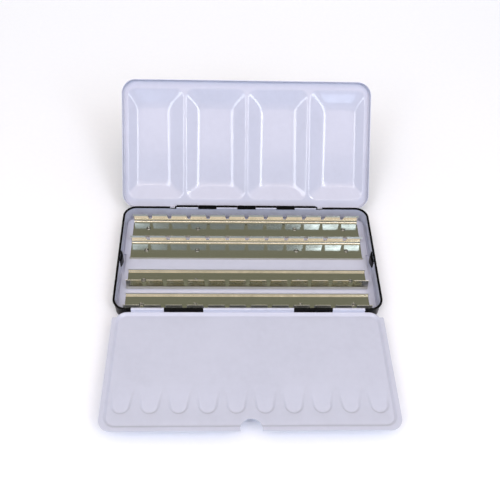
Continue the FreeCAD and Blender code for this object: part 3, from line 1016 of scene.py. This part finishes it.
@dataclass
class BaseTin:
    """The lower tray: black outside, white inside, with its rolled rim and its share of the knuckles."""

    half_x: float = 114.0
    half_y: float = 57.0
    sheet: float = 0.5
    corner: float = 11.0
    floor_radius: float = 0.9
    rim: float = 16.0
    bead: float = 1.0
    wall_top: float = 15.8
    front_low: float = 13.05
    front_mid: float = 13.53
    front_inner: float = 38.4
    front_outer: float = 70.8
    front_half: float = 98.8
    rear_half: float = 66.0
    rear_end: float = 72.0
    rear_notch: float = 13.6
    dimple_depth: float = 2.6
    dimple_half: float = 8.0
    dimple_z: Span = (3.0, 14.4)
    dimple_fade: Span = (1.2, 1.6)
    black_above: float = 7.0
    black_press: Span = (0.35, 3.5)
    ring_z: tuple[float, ...] = (
        2.2, 3.0, 3.4, 3.8, 4.2, 6.0, 8.5, 11.0, 12.4, 12.8, 13.2, 13.6, 14.0, 14.4, 15.1)
    bend_points: int = 6
    floor_border: float = 1.0
    wall_band: float = 2.0
    stop_spacing: Span = (5.0, 1.2)
    rim_parts: int = 12
    rim_steps: int = 14
    rim_sides: int = 20
    bead_crisp: float = 50.0
    hem: float = 0.7
    hem_sides: int = 12
    hem_inset: float = 0.1
    hem_proud: float = 0.05
    bridge_lip: float = 0.95
    bridge_drop: float = 1.5
    bridge_ease: float = 0.3
    rear_spans: Spans = ((-45.6, -28.4), (-8.6, 8.6), (28.4, 45.6))
    rear_roll: Span = (-160.0, 250.0)
    front_spans: Spans = ((-70.8, -38.4), (38.4, 70.8))
    front_roll: Span = (-80.0, 335.0)

    def wall_height(self, loop: Loop) -> np.ndarray:
        """Height of the wall's top edge at each point of the outline.

        Args:
            loop: The outline's points.

        Returns:
            The heights.
        """
        x = np.abs(loop[:, 0])
        front = loop[:, 1] < -self.half_y + self.wall_band
        rear = loop[:, 1] > self.half_y - self.wall_band
        under_base = (x > self.front_inner) & (x < self.front_outer)
        lowered = np.where(under_base, self.front_mid, self.front_low)
        top = np.where(front & (x < self.front_half), lowered, self.wall_top)
        return np.where(rear & (x > self.rear_half) & (x < self.rear_end), self.rear_notch, top)

    def dimple(self, loop: Loop, z: np.ndarray) -> np.ndarray:
        """How far each wall point is pressed in by the side dimples.

        Args:
            loop: The outline's points.
            z: Their heights.

        Returns:
            The distances inwards.
        """
        radius = (self.dimple_half ** 2 + self.dimple_depth ** 2) / (2 * self.dimple_depth)
        y = np.clip(np.abs(loop[:, 1]), 0.0, self.dimple_half)
        bulge = np.sqrt(radius ** 2 - y ** 2) - (radius - self.dimple_depth)
        low, high = self.dimple_z
        fade_in, fade_out = self.dimple_fade
        rise = np.clip((z - low) / fade_in, 0.0, 1.0) * np.clip((high - z) / fade_out, 0.0, 1.0)
        on_side = np.abs(loop[:, 0]) > self.half_x - self.wall_band
        return np.where(on_side, bulge * (3 * rise ** 2 - 2 * rise ** 3), 0.0)

    def shell(self) -> bpy.types.Mesh:
        """The tray's sheet, white face inwards.

        Returns:
            The closed mesh.
        """
        press = Pressing()
        inner = self.corner - self.sheet
        spacing_x, spacing_y = self.stop_spacing
        steps = (self.rear_half, self.rear_end, self.front_half, self.front_inner, self.front_outer)
        across = marked(self.half_x - self.corner, steps, spacing_x)
        along = marked(self.half_y - self.corner, (), spacing_y)
        rings = [(self.floor_radius + self.floor_border, self.sheet)]
        rings += [(self.floor_radius * (1 - math.sin(a)), self.sheet + self.floor_radius * (1 - math.cos(a)))
                  for a in angles(0.0, 90.0, self.bend_points)]
        rings += [(0.0, z) for z in (*self.ring_z, self.wall_top)]
        previous: list[int] | None = None
        for inset, z in rings:
            x = self.half_x - self.sheet - inset
            y = self.half_y - self.sheet - inset
            radius = inner - inset
            loop = rounded_loop((-x, x), (-y, y), (radius, radius), across, along)
            heights = np.minimum(z, self.wall_height(loop))
            pressed = self.dimple(loop, heights)
            loop[:, 0] -= np.sign(loop[:, 0]) * pressed
            ring = press.ring(loop, heights)
            if previous is None:
                press.flat(ring)
            else:
                press.band(previous, ring)
            previous = ring
        return thickened(press.mesh("base_shell", Vector((0, 0, 1))), self.sheet, 1, 1)

    def rim_paths(self) -> list[list[Point]]:
        """Centre lines of the rolled rim, open where the hinges are.

        Returns:
            One line for each side.
        """
        loop = rounded_loop((-self.half_x, self.half_x), (-self.half_y, self.half_y),
                            (self.corner, self.corner), [], even(self.rim_parts), self.rim_steps)
        z = self.rim - self.bead
        right = [tuple(p) for p in loop if p[0] > 0]
        chain = [(self.front_half, -self.half_y), *right, (self.rear_end, self.half_y)]
        return [[(side * x, y, z) for x, y in chain] for side in (1.0, -1.0)]

    def bridge(self) -> list[Flat]:
        """Section of the sheet that joins a rear knuckle to the wall and laps over its hem.

        Returns:
            Its (y, z) corners in order.
        """
        top = REAR_HINGE.z + REAR_HINGE.radius
        inner = self.half_y - self.sheet
        lip = inner - self.bridge_lip
        foot = self.rim - self.bridge_drop
        return [(lip, foot), (inner, foot), (inner, top - self.sheet), (REAR_HINGE.y, top - self.sheet),
                (REAR_HINGE.y, top), (lip + self.bridge_ease, top), (lip, top - self.bridge_ease)]

    def build(self, rigs: Rigs, finishes: Finishes) -> None:
        """Make the tray's pieces.

        Args:
            rigs: The node trees.
            finishes: The finishes.
        """
        shell_mesh = self.shell()
        shallow, deep = self.black_press
        for face in shell_mesh.polygons:
            x, y, z = (c / MM for c in face.center)
            pressed = self.half_x - self.sheet - abs(x)
            if abs(y) < self.dimple_half and z > self.black_above and shallow < pressed < deep:
                face.material_index = 1
        shell = finish_piece("base_shell", shell_mesh, Body.BASE,
                             (finishes.white, finishes.black))
        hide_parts("base_tin")
        rim = rigs.bead.run(seed_path(self.rim_paths()),
                            {"Radius": self.bead * MM, "Sides": self.rim_sides, "Finish": finishes.black})
        finish_piece("rolled_rim", rim, Body.BASE, (finishes.black,), self.bead_crisp)
        hem_half = self.rear_half - self.hem_inset
        hem_y = self.half_y + self.hem_proud - self.hem
        hem_path = [(x, hem_y, self.wall_top - self.hem) for x in (-hem_half, 0.0, hem_half)]
        hem = rigs.bead.run(seed_path([hem_path]),
                            {"Radius": self.hem * MM, "Sides": self.hem_sides, "Finish": finishes.white})
        finish_piece("rear_wall_hem", hem, Body.BASE, (finishes.white,), self.bead_crisp)
        rear = REAR_HINGE.curls(rigs, self.rear_spans, self.rear_roll, finishes.black)
        knuckles = joined([rear, extrusion(self.bridge(), self.rear_spans, "bridges")], "rear_base_knuckles")
        finish_piece("rear_base_knuckles", knuckles, Body.BASE, (finishes.black,))
        front = FRONT_HINGE.curls(rigs, self.front_spans, self.front_roll, finishes.black)
        finish_piece("front_base_knuckles", front, Body.BASE, (finishes.black,))


@dataclass
class MixingLid:
    """The lid: a skirt with a rolled shoulder and four sloping mixing wells, drawn shut and then opened."""

    half_x: float = 116.4
    y: Span = (-59.0, 59.75)
    sheet: float = 0.5
    corner: float = 13.0
    skirt_z: float = 15.0
    hinge_z: float = 16.2
    hinge_y: float = 52.0
    middle_z: float = 17.4
    shoulder_z: float = 20.2
    shoulder_round: float = 1.1
    shoulder_border: float = 0.8
    depth: float = 5.0
    mouth_y: Span = (-51.0, 51.0)
    floor_y: Span = (-36.0, 38.0)
    wells: tuple[Spans, ...] = (((1.3, 57.3), (14.8, 43.8)), ((59.9, 111.4), (73.4, 102.4)))
    mouth_radius: float = 7.0
    floor_radius: float = 5.0
    least_radius: float = 2.0
    open_angle: float = 136.0
    mouth_ease: Span = (-0.09, 0.07)
    floor_ease: Span = (0.66, 1.24)
    ring_shares: tuple[float, ...] = (
        -0.09, -0.06, -0.03, 0.0, 0.03, 0.07, 0.3, 0.5, 0.66,
        0.73, 0.8, 0.87, 0.94, 1.0, 1.06, 1.12, 1.18, 1.24, 1.3)
    well_parts: tuple[int, int] = (9, 16)
    well_steps: int = 9
    edge_parts: tuple[int, int] = (40, 24)
    edge_steps: int = 12
    bend_points: int = 7
    spans: Spans = ((-65.7, -45.9), (-28.1, -8.9), (8.9, 28.1), (45.9, 65.7))
    roll: Span = (-330.0, 330.0)
    leaf_rise: float = 0.6

    def well(self, press: Pressing, mouth_x: Span, floor_x: Span) -> list[int]:
        """One well's rings from its mouth to its floor.

        Args:
            press: The sheet it is pressed into.
            mouth_x: Low and high X of the mouth.
            floor_x: Low and high X of the floor.

        Returns:
            The ring where it meets the shoulder.
        """
        first: list[int] | None = None
        previous: list[int] = []
        across, along = (even(parts) for parts in self.well_parts)
        for t in self.ring_shares:
            x = [a + (b - a) * t for a, b in zip(mouth_x, floor_x)]
            y = [a + (b - a) * t for a, b in zip(self.mouth_y, self.floor_y)]
            radius = max(self.mouth_radius + (self.floor_radius - self.mouth_radius) * t, self.least_radius)
            loop = rounded_loop(x, y, (radius, radius), across, along, self.well_steps)
            z = self.shoulder_z + self.depth * float(eased_ramp(t, self.mouth_ease, self.floor_ease))
            ring = press.ring(loop, z)
            if first is None:
                first = ring
            else:
                press.band(previous, ring)
            previous = ring
        press.flat(previous)
        return first

    def shell(self) -> bpy.types.Mesh:
        """The lid's sheet, white face down while shut.

        Returns:
            The closed mesh.
        """
        press = Pressing()
        half = self.half_x - self.sheet
        y = (self.y[0] + self.sheet, self.y[1] - self.sheet)
        inner = self.corner - self.sheet
        bend = self.shoulder_round
        rings = [(0.0, self.skirt_z), (0.0, self.hinge_z), (0.0, self.middle_z)]
        rings += [(bend * (1 - math.cos(a)), self.shoulder_z - bend * (1 - math.sin(a)))
                  for a in angles(0.0, 90.0, self.bend_points)]
        rings.append((bend + self.shoulder_border, self.shoulder_z))
        previous: list[int] = []
        across, along = (even(parts) for parts in self.edge_parts)
        for k, (inset, z) in enumerate(rings):
            loop = rounded_loop((-half + inset, half - inset), (y[0] + inset, y[1] - inset),
                                (inner - inset, inner - inset), across, along, self.edge_steps)
            heights = np.full(len(loop), z)
            if k == 0:
                heights = np.where(loop[:, 1] > self.hinge_y, self.hinge_z, z)
            ring = press.ring(loop, heights)
            if k:
                press.band(previous, ring)
            previous = ring
        mouths = []
        for mouth_x, floor_x in self.wells:
            mouths.append(self.well(press, mouth_x, floor_x))
            mouths.append(self.well(press, (-mouth_x[1], -mouth_x[0]), (-floor_x[1], -floor_x[0])))
        press.flat(previous, mouths)
        return thickened(press.mesh("lid_shell", Vector((0, 0, -1))), self.sheet, 1, 0)

    def build(self, rigs: Rigs, finishes: Finishes) -> None:
        """Make the lid's pieces and open them.

        Args:
            rigs: The node trees.
            finishes: The finishes.
        """
        opened = hinge_turn(REAR_HINGE.y, REAR_HINGE.z, -self.open_angle)
        shell_mesh = self.shell()
        shell_mesh.transform(opened)
        shell = finish_piece("lid_shell", shell_mesh, Body.LID,
                             (finishes.white, finishes.black))
        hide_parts("lid")
        curls = REAR_HINGE.curls(rigs, self.spans, self.roll, finishes.black)
        back = self.y[1]
        front = back - self.sheet
        top = self.hinge_z + self.leaf_rise
        leaves = extrusion([(front, REAR_HINGE.z), (back, REAR_HINGE.z), (back, top), (front, top)],
                           self.spans, "leaves")
        # Only the leaves' inner faces are white.
        leaves.polygons.foreach_set("material_index", [int(f.normal.y < -0.5) for f in leaves.polygons])
        knuckles = joined([curls, leaves], "lid_knuckles")
        knuckles.transform(opened)
        finish_piece("lid_knuckles", knuckles, Body.LID, (finishes.black, finishes.white))


@dataclass
class MixingFlap:
    """The mixing flap: a shallow tray with ten slanted thumb-shaped wells and a finger notch."""

    half_x: float = 113.6
    hinge_half: float = 111.3
    near: float = -55.2
    side_start: float = -50.0
    far: float = 52.0
    sheet: float = 0.5
    flange_z: float = 16.1
    tray_depth: float = 1.6
    slope: float = 2.0
    mouth_x: float = 110.3
    mouth_y: Span = (-54.5, 48.7)
    mouth_radii: Span = (9.3, 9.0)
    mouth_shares: tuple[float, ...] = (-0.33, -0.15, 0.0, 0.15, 0.33, 0.67, 0.85, 1.0, 1.15, 1.33, 1.7)
    least_radius: float = 0.5
    near_radius: float = 10.0
    far_radius: float = 10.0
    side_radius: float = 1.0
    notch_radius: float = 8.4
    notch_y: float = 49.7
    dab_count: int = 10
    dab_pitch: float = 21.9
    dab_radius: float = 7.6
    dab_mouth: float = 10.6
    dab_near: float = 12.0
    dab_tip: float = 37.3
    dab_depth: float = 1.8
    dab_wall: float = 1.7
    dab_fall: float = 1.4
    dab_shares: tuple[float, ...] = (-0.2, 0.0, 0.2, 0.4, 0.6, 0.8, 1.0, 1.2, 1.4, 1.7)
    dab_near_share: float = 0.5
    dab_near_least: float = -0.5
    dab_parts: tuple[int, int] = (20, 10)
    dab_points: int = 25
    mouth_parts: tuple[int, int] = (80, 36)
    # Points along half the edge: hinge side, its corner, shoulder, end, far corner, far side, notch.
    edge_points: tuple[int, ...] = (22, 12, 5, 26, 10, 24, 18)
    dab_margin: float = 2.0
    open_angle: float = 177.2
    ease: Spans = ((-0.33, 0.33), (0.67, 1.33))
    dab_ease: Spans = ((-0.4, 0.4), (0.6, 1.4))
    spans: Spans = ((-98.5, -71.1), (-38.1, 38.1), (71.1, 98.5))
    roll: Span = (95.0, 335.0)
    leaf_under: tuple[float, ...] = (-56.1, -55.4, -54.7)
    leaf_over: Span = (-55.5, -56.3)
    leaf_sink: float = 0.05

    def outline(self) -> Loop:
        """The flap's edge, anticlockwise, with its notch.

        Returns:
            The points, one row each.
        """
        arc_x = self.hinge_half - self.near_radius
        arc_y = self.near + self.near_radius
        side_x = self.half_x - self.side_radius
        side_y = self.side_start + self.side_radius
        far_x = self.half_x - self.far_radius
        far_y = self.far - self.far_radius
        meets_side = math.degrees(math.asin((self.side_start - arc_y) / self.near_radius))
        notch_x = math.sqrt(self.notch_radius ** 2 - (self.far - self.notch_y) ** 2)
        meets_far = math.degrees(math.atan2(self.far - self.notch_y, notch_x))
        near, near_corner, shoulder, end, far_corner, far, notch = self.edge_points
        half = [(x, self.near) for x in np.linspace(0.0, arc_x, near)[:-1]]
        half += arc((arc_x, arc_y), self.near_radius, -90.0, meets_side, near_corner)
        half += arc((side_x, side_y), self.side_radius, -90.0, 0.0, shoulder)
        half += [(self.half_x, y) for y in np.linspace(side_y, far_y, end)[1:-1]]
        half += arc((far_x, far_y), self.far_radius, 0.0, 90.0, far_corner)
        half += [(x, self.far) for x in np.linspace(far_x, notch_x, far)[1:-1]]
        half += arc((0.0, self.notch_y), self.notch_radius, meets_far, -90.0, notch)
        mirrored = [(-x, y) for x, y in reversed(half[1:-1])]
        return np.array(half + mirrored)

    def mouth(self, inset: float) -> Loop:
        """The tray's mouth, moved in by a distance.

        Args:
            inset: The distance.

        Returns:
            The points, one row each.
        """
        radii = [max(r - inset, self.least_radius) for r in self.mouth_radii]
        across, along = (even(parts) for parts in self.mouth_parts)
        return rounded_loop((-self.mouth_x + inset, self.mouth_x - inset),
                            (self.mouth_y[0] + inset, self.mouth_y[1] - inset), radii, across, along)

    def dab(self, x: float, inset: float) -> Loop:
        """One well's outline, moved in by a distance.

        Args:
            x: The middle of the well.
            inset: The distance.

        Returns:
            The points, one row each.
        """
        radius = self.dab_radius - inset
        centre = self.dab_tip - self.dab_radius
        wide = self.dab_mouth - inset
        near = self.dab_near + max(inset, self.dab_near_least) * self.dab_near_share
        side, bottom = (even(parts) for parts in self.dab_parts)
        right = [(wide + (radius - wide) * f, near + (centre - near) * f) for f in (0.0, *side)]
        left = [(-px, py) for px, py in reversed(right)]
        across = [(-wide + 2 * wide * f, near) for f in bottom]
        points = right + arc((0.0, centre), radius, 0.0, 180.0, self.dab_points) + left + across
        return np.array([(x + px, py) for px, py in points])

    def stations(self) -> list[float]:
        """X of each well."""
        return [(k - (self.dab_count - 1) / 2) * self.dab_pitch for k in range(self.dab_count)]

    def height(self, points: np.ndarray) -> np.ndarray:
        """Height of the tray's inner face, the flap folded in.

        Args:
            points: X and Y of each point.

        Returns:
            The heights.
        """
        inset = depth_inside(self.mouth(0.0), points)
        z = self.flange_z + self.tray_depth * eased_ramp(inset / self.slope, *self.ease)
        for x in self.stations():
            near = np.abs(points[:, 0] - x) < self.dab_mouth + self.dab_margin
            near &= points[:, 1] > self.dab_near - self.dab_margin
            near &= points[:, 1] < self.dab_tip + self.dab_margin
            if not near.any():
                continue
            depth = depth_inside(self.dab(x, 0.0), points[near])
            along = (points[near][:, 1] - self.dab_near) / (self.dab_tip - self.dab_near)
            fall = self.dab_depth * np.clip(along, 0.0, 1.0) ** self.dab_fall
            z[near] += fall * eased_ramp(depth / self.dab_wall, *self.dab_ease)
        return z

    def shell(self) -> bpy.types.Mesh:
        """The flap's sheet, working face down while folded in.

        Returns:
            The closed mesh.
        """
        guides = [self.mouth(self.slope * t) for t in self.mouth_shares]
        for x in self.stations():
            guides += [self.dab(x, self.dab_wall * t) for t in self.dab_shares]
        press = Pressing()
        press.drape(self.outline(), guides, self.height)
        return thickened(press.mesh("flap_shell", Vector((0, 0, -1))), self.sheet)

    def leaf(self) -> list[Flat]:
        """Section of the sheet that steps up from a knuckle to the flap's flange.

        Returns:
            Its (y, z) corners in order.
        """
        top = FRONT_HINGE.z + FRONT_HINGE.radius
        flange = self.flange_z + self.sheet - self.leaf_sink
        start, foot, end = self.leaf_under
        over_end, over_start = self.leaf_over
        return [(FRONT_HINGE.y, top - self.sheet), (start, top - self.sheet), (foot, self.flange_z),
                (end, self.flange_z), (end, flange), (over_end, flange), (over_start, top),
                (FRONT_HINGE.y, top)]

    def build(self, rigs: Rigs, finishes: Finishes) -> None:
        """Make the flap's pieces and fold them out.

        Args:
            rigs: The node trees.
            finishes: The finishes.
        """
        opened = hinge_turn(FRONT_HINGE.y, FRONT_HINGE.z, self.open_angle)
        shell_mesh = self.shell()
        shell_mesh.transform(opened)
        shell = finish_piece("flap_shell", shell_mesh, Body.FLAP, (finishes.white,))
        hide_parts("mixing_flap")
        curls = FRONT_HINGE.curls(rigs, self.spans, self.roll, finishes.white)
        knuckles = joined([curls, extrusion(self.leaf(), self.spans, "leaves")], "flap_knuckles")
        knuckles.transform(opened)
        finish_piece("flap_knuckles", knuckles, Body.FLAP, (finishes.white,))


@dataclass
class ClipRail:
    """One tinplate rail: a mirror floor, a folded lip and twelve sprung tabs, with four rivets."""

    number: int
    root: float
    side: Side
    floor_z: float = 2.1
    sheet: float = 0.4
    width: float = 20.2
    half: float = 106.2
    strip: float = 4.2
    strip_lean: float = 0.5
    height: float = 11.4
    lean: float = 3.0
    lead_in: float = 1.2
    lead_out: float = 0.9
    lip: Span = (1.0, 2.4)
    lip_ease: float = 0.2
    bend: float = 1.0
    tabs: int = 12
    pitch: float = 18.1
    slit_foot: float = 2.4
    slit_top: float = 4.4
    rivet_x: tuple[float, ...] = (-92.0, -45.7, 45.7, 92.0)
    rivet_head: Span = (2.1, 0.7)
    rivet_tail: Span = (1.7, 0.5)
    plate_under: float = 1.6
    bend_points: int = 6
    tab_rows: int = 13
    # Sides and rings of a rivet's head and of its tail.
    head_mesh: tuple[int, int] = (28, 12)
    tail_mesh: tuple[int, int] = (24, 8)
    rail_crisp: float = 35.0
    rivet_crisp: float = 60.0

    def place(self, u: float, z: float) -> Flat:
        """A section point from its distance in from the tabs' root and its height over the plate."""
        return self.root - self.side.value * u, self.floor_z + z

    def section(self) -> list[Flat]:
        """The rail's section up to where the tabs start.

        Returns:
            Its (y, z) corners in order.
        """
        outer = self.sheet + self.bend
        thick, tall = self.lip
        ease = self.lip_ease
        back = self.width - thick
        skin = [(self.strip_lean, self.strip)]
        skin += arc((outer, outer), outer, 180.0, 270.0, self.bend_points)
        skin += [(self.width - ease, 0.0), (self.width, ease), (self.width, tall - ease),
                 (self.width - ease, tall), (back + ease, tall), (back, tall - ease),
                 (back, self.sheet + ease), (back - ease, self.sheet)]
        skin += arc((outer, outer), self.bend, 270.0, 180.0, self.bend_points)
        skin.append((self.strip_lean + self.sheet, self.strip))
        return [self.place(u, z) for u, z in skin]

    def tab_mesh(self, rigs: Rigs, finishes: Finishes) -> bpy.types.Mesh:
        """The row of tabs, outer face on the rail's root side.

        Args:
            rigs: The node trees.
            finishes: The finishes.

        Returns:
            The closed mesh.
        """
        rise = self.height - self.strip
        shin_lean = self.lean * (self.height - self.lead_in) / self.height
        y, z = self.place(self.strip_lean, self.strip)
        edge = (self.tabs - 2) / 2 * self.pitch
        low = edge + self.slit_foot / 2
        taper = self.slit_top - self.slit_foot
        # Each tab's X, width at the foot, width at the top and lean-over. Only the end tabs lean over.
        foot = self.pitch - self.slit_foot
        inner = [(-edge + (k - 0.5) * self.pitch, foot, foot - taper, 0.0) for k in range(1, self.tabs - 1)]
        foot = self.half - low
        left, right = ((sign * (low + self.half) / 2, foot, foot - taper / 2, sign * taper / 4)
                       for sign in (-1.0, 1.0))
        middles, foots, tops, skews = zip(left, *inner, right)
        seed = seed_points([(x, y, z) for x in middles], foot=foots, top=tops, skew=skews)
        mesh = rigs.tab.run(seed, {"Height": rise * MM, "Lead In": self.lead_in * MM,
                                   "Lean": (shin_lean - self.strip_lean) * MM,
                                   "Lead Out": self.lead_out * MM, "Side": float(self.side.value),
                                   "Rows": self.tab_rows, "Finish": finishes.tin})
        facing = sum(f.normal.y * f.area for f in mesh.polygons) * self.side.value
        if facing < 0:
            mesh.flip_normals()
        return thickened(mesh, self.sheet)

    def build(self, rigs: Rigs, finishes: Finishes) -> None:
        """Make the rail and its rivets.

        Args:
            rigs: The node trees.
            finishes: The finishes.
        """
        body = extrusion(self.section(), ((-self.half, self.half),), "rail")
        rail = finish_piece(f"rail_{self.number}", joined([body, self.tab_mesh(rigs, finishes)], "rail"),
                            Body.INSERT, (finishes.tin,), self.rail_crisp)
        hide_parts(f"clip_rail_{self.number}")
        radius, rise = self.rivet_head
        sides, rings = self.head_mesh
        y = self.root - self.side.value * (self.sheet + self.width - self.lip[0]) / 2
        seat = self.floor_z + self.sheet
        heads = rigs.rivet.run(seed_points([(x, y, seat + rise / 2) for x in self.rivet_x]),
                               {"Radius": radius * MM, "Height": rise * MM, "Sides": sides, "Rings": rings,
                                "Finish": finishes.rivet})
        radius, rise = self.rivet_tail
        sides, rings = self.tail_mesh
        tails = rigs.rivet.run(seed_points([(x, -y, -self.plate_under + rise / 2) for x in self.rivet_x]),
                               {"Radius": radius * MM, "Height": rise * MM, "Sides": sides, "Rings": rings,
                                "Finish": finishes.rivet})
        tails.transform(Matrix.Rotation(math.pi, 4, "X"))
        rivets = finish_piece(f"rivets_{self.number}", joined([heads, tails], "rivets"), Body.INSERT,
                              (finishes.rivet,), self.rivet_crisp)
        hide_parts(f"rail_rivets_{self.number}")


@dataclass
class CarriedNodes:
    """The frame's own nodes that stay in view: the plate and the two hinge wires."""

    def dress(self, finishes: Finishes) -> None:
        """Give each carried node its finish.

        Args:
            finishes: The finishes.
        """
        chosen = {"insert_plate": finishes.white, "rear_hinge_pin": finishes.wire,
                  "front_hinge_pin": finishes.wire}
        for name, material in chosen.items():
            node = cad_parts[name]
            for slot in node.material_slots:
                slot.material = material
            LOG.info("%s: carried over in %s", name, material.name)


# --------------------------------------------------------------------------
# Studio
# --------------------------------------------------------------------------


@dataclass(frozen=True)
class Softbox:
    """One soft light: place, aim and size in metres, power in watts, colour as sRGB hex."""

    name: str
    place: Point
    aim: Point
    size: Span
    power: float
    colour: str

    def hang(self) -> None:
        """Put the light in the scene, hidden from the camera."""
        lamp = bpy.data.lights.new(self.name, "AREA")
        lamp.shape = "RECTANGLE"
        lamp.size, lamp.size_y = self.size
        lamp.energy = self.power
        lamp.color = linear(self.colour)[:3]
        rig = bpy.data.objects.new(self.name, lamp)
        rig.location = self.place
        rig.visible_camera = False
        rig.rotation_euler = (Vector(self.aim) - Vector(self.place)).to_track_quat("-Z", "Y").to_euler()
        bpy.context.scene.collection.objects.link(rig)


LIGHTS = (
    # The main light, large and soft, overhead and a little in front of the tin.
    Softbox("overhead", (0.0, -0.45, 1.5), (0.0, -0.45, 0.0), (2.2, 1.5), 13.0, "#ffe6db"),
    # Two strips to the sides and a narrow bar, for the highlights along the wells' slopes.
    Softbox("strip_left", (-0.62, -0.85, 1.15), (0.0, 0.08, 0.05), (0.3, 0.9), 4.6, "#eef5ff"),
    Softbox("strip_right", (0.71, -0.88, 1.12), (0.0, 0.08, 0.05), (0.26, 0.9), 6.0, "#eef5ff"),
    Softbox("bar", (0.0, -0.5, 1.32), (0.0, 0.1, 0.05), (0.9, 0.07), 1.1, "#fff0e8"),
    # Brightens the paper behind the tin.
    Softbox("backdrop", (0.0, 1.0, 0.45), (0.0, 0.55, 0.0), (1.6, 0.7), 3.0, "#ffffff"),
    # Low cards in front of the tin, which the tabs and the rails' floors mirror.
    Softbox("low_right", (0.42, -1.25, 0.42), (0.05, 0.0, 0.02), (0.4, 0.14), 0.7, "#d3e3ff"),
    Softbox("low_left", (-0.29, -1.2, 0.42), (-0.05, 0.0, 0.02), (0.14, 0.14), 0.085, "#d3e3ff"),
)


@dataclass
class Studio:
    """Pale floor, soft light and the camera."""

    floor_half: float = 2.5
    sky_low: str = "#cfdcf2"
    sky_high: str = "#e6e4e0"
    sky_rise: Span = (0.3, 0.62)
    sky_back: str = "#9b9b89"
    sky_turn: Span = (-0.2, 0.6)
    sky_strength: float = 0.75
    camera_place: Point = (-0.0208, -0.3664, 0.4891)
    yaw: float = 3.55
    pitch: float = 51.77
    roll: float = 3.06
    lens: float = 48.3
    sensor: float = 36.0

    def floor(self) -> None:
        """Lay the studio paper."""
        half = self.floor_half
        corners = [(x, y, 0.0) for x, y in ((-half, -half), (half, -half), (half, half), (-half, half))]
        mesh = bpy.data.meshes.new("floor")
        mesh.from_pydata(corners, [], [(0, 1, 2, 3)])
        mesh.materials.append(PaperFloor().make())
        linked("floor", mesh)

    def sky(self) -> None:
        """Pale room light: cool low in front, neutral higher up, darker and greener behind."""
        world = bpy.data.worlds.new("studio_room")
        world.use_nodes = True
        tree = world.node_tree
        tree.nodes.clear()
        way = add_node(tree, "ShaderNodeTexCoord").outputs["Generated"]
        parts = add_node(tree, "ShaderNodeSeparateXYZ", {0: way})
        near, far = self.sky_turn
        back = add_node(tree, "ShaderNodeMapRange",
                        {"Value": parts.outputs["Y"], "From Min": near, "From Max": far})
        low, high = self.sky_rise
        above = add_node(tree, "ShaderNodeMapRange",
                         {"Value": parts.outputs["Z"], "From Min": low, "From Max": high})
        front = add_node(tree, "ShaderNodeMix",
                         {"Factor": above, 6: linear(self.sky_low), 7: linear(self.sky_high)},
                         data_type="RGBA")
        colour = add_node(tree, "ShaderNodeMix",
                          {"Factor": back, 6: front.outputs[2], 7: linear(self.sky_back)}, data_type="RGBA")
        light = add_node(tree, "ShaderNodeBackground",
                         {"Color": colour.outputs[2], "Strength": self.sky_strength})
        add_node(tree, "ShaderNodeOutputWorld", {"Surface": light})
        bpy.context.scene.world = world

    def camera(self) -> None:
        """Set the camera."""
        yaw, pitch, roll = (math.radians(a) for a in (self.yaw, self.pitch, self.roll))
        ahead = Vector((math.sin(yaw), math.cos(yaw), 0.0))
        right = Vector((math.cos(yaw), -math.sin(yaw), 0.0))
        up = Vector((0.0, 0.0, 1.0))
        view = ahead * math.cos(pitch) - up * math.sin(pitch)
        above = up * math.cos(pitch) + ahead * math.sin(pitch)
        across = right * math.cos(roll) + above * math.sin(roll)
        rise = above * math.cos(roll) - right * math.sin(roll)
        turn = Matrix((across, rise, -view)).transposed().to_4x4()
        data = bpy.data.cameras.new("camera")
        data.lens = self.lens
        data.sensor_width = self.sensor
        eye = bpy.data.objects.new("camera", data)
        eye.matrix_world = Matrix.Translation(self.camera_place) @ turn
        bpy.context.scene.collection.objects.link(eye)
        bpy.context.scene.camera = eye

    def build(self) -> None:
        """Set up the studio."""
        bpy.context.scene.view_settings.view_transform = "Standard"
        self.floor()
        self.sky()
        self.camera()
        for light in LIGHTS:
            light.hang()


# Y of the tabs' root in each row, from the back, and the long edge that they stand on.
RAIL_ROWS = ((51.2, Side.BACK), (25.4, Side.BACK), (-28.1, Side.FRONT), (-53.9, Side.FRONT))


def main() -> None:
    """Build the tin in order and light it."""
    logging.basicConfig(level=logging.INFO, format="%(name)s %(message)s")
    Studio().build()
    finishes = Finishes.mixed()
    rigs = Rigs.built()
    BaseTin().build(rigs, finishes)
    MixingLid().build(rigs, finishes)
    MixingFlap().build(rigs, finishes)
    for number, (root, side) in enumerate(RAIL_ROWS, start=1):
        ClipRail(number, root, side).build(rigs, finishes)
    CarriedNodes().dress(finishes)


if __name__ == "__main__":
    main()
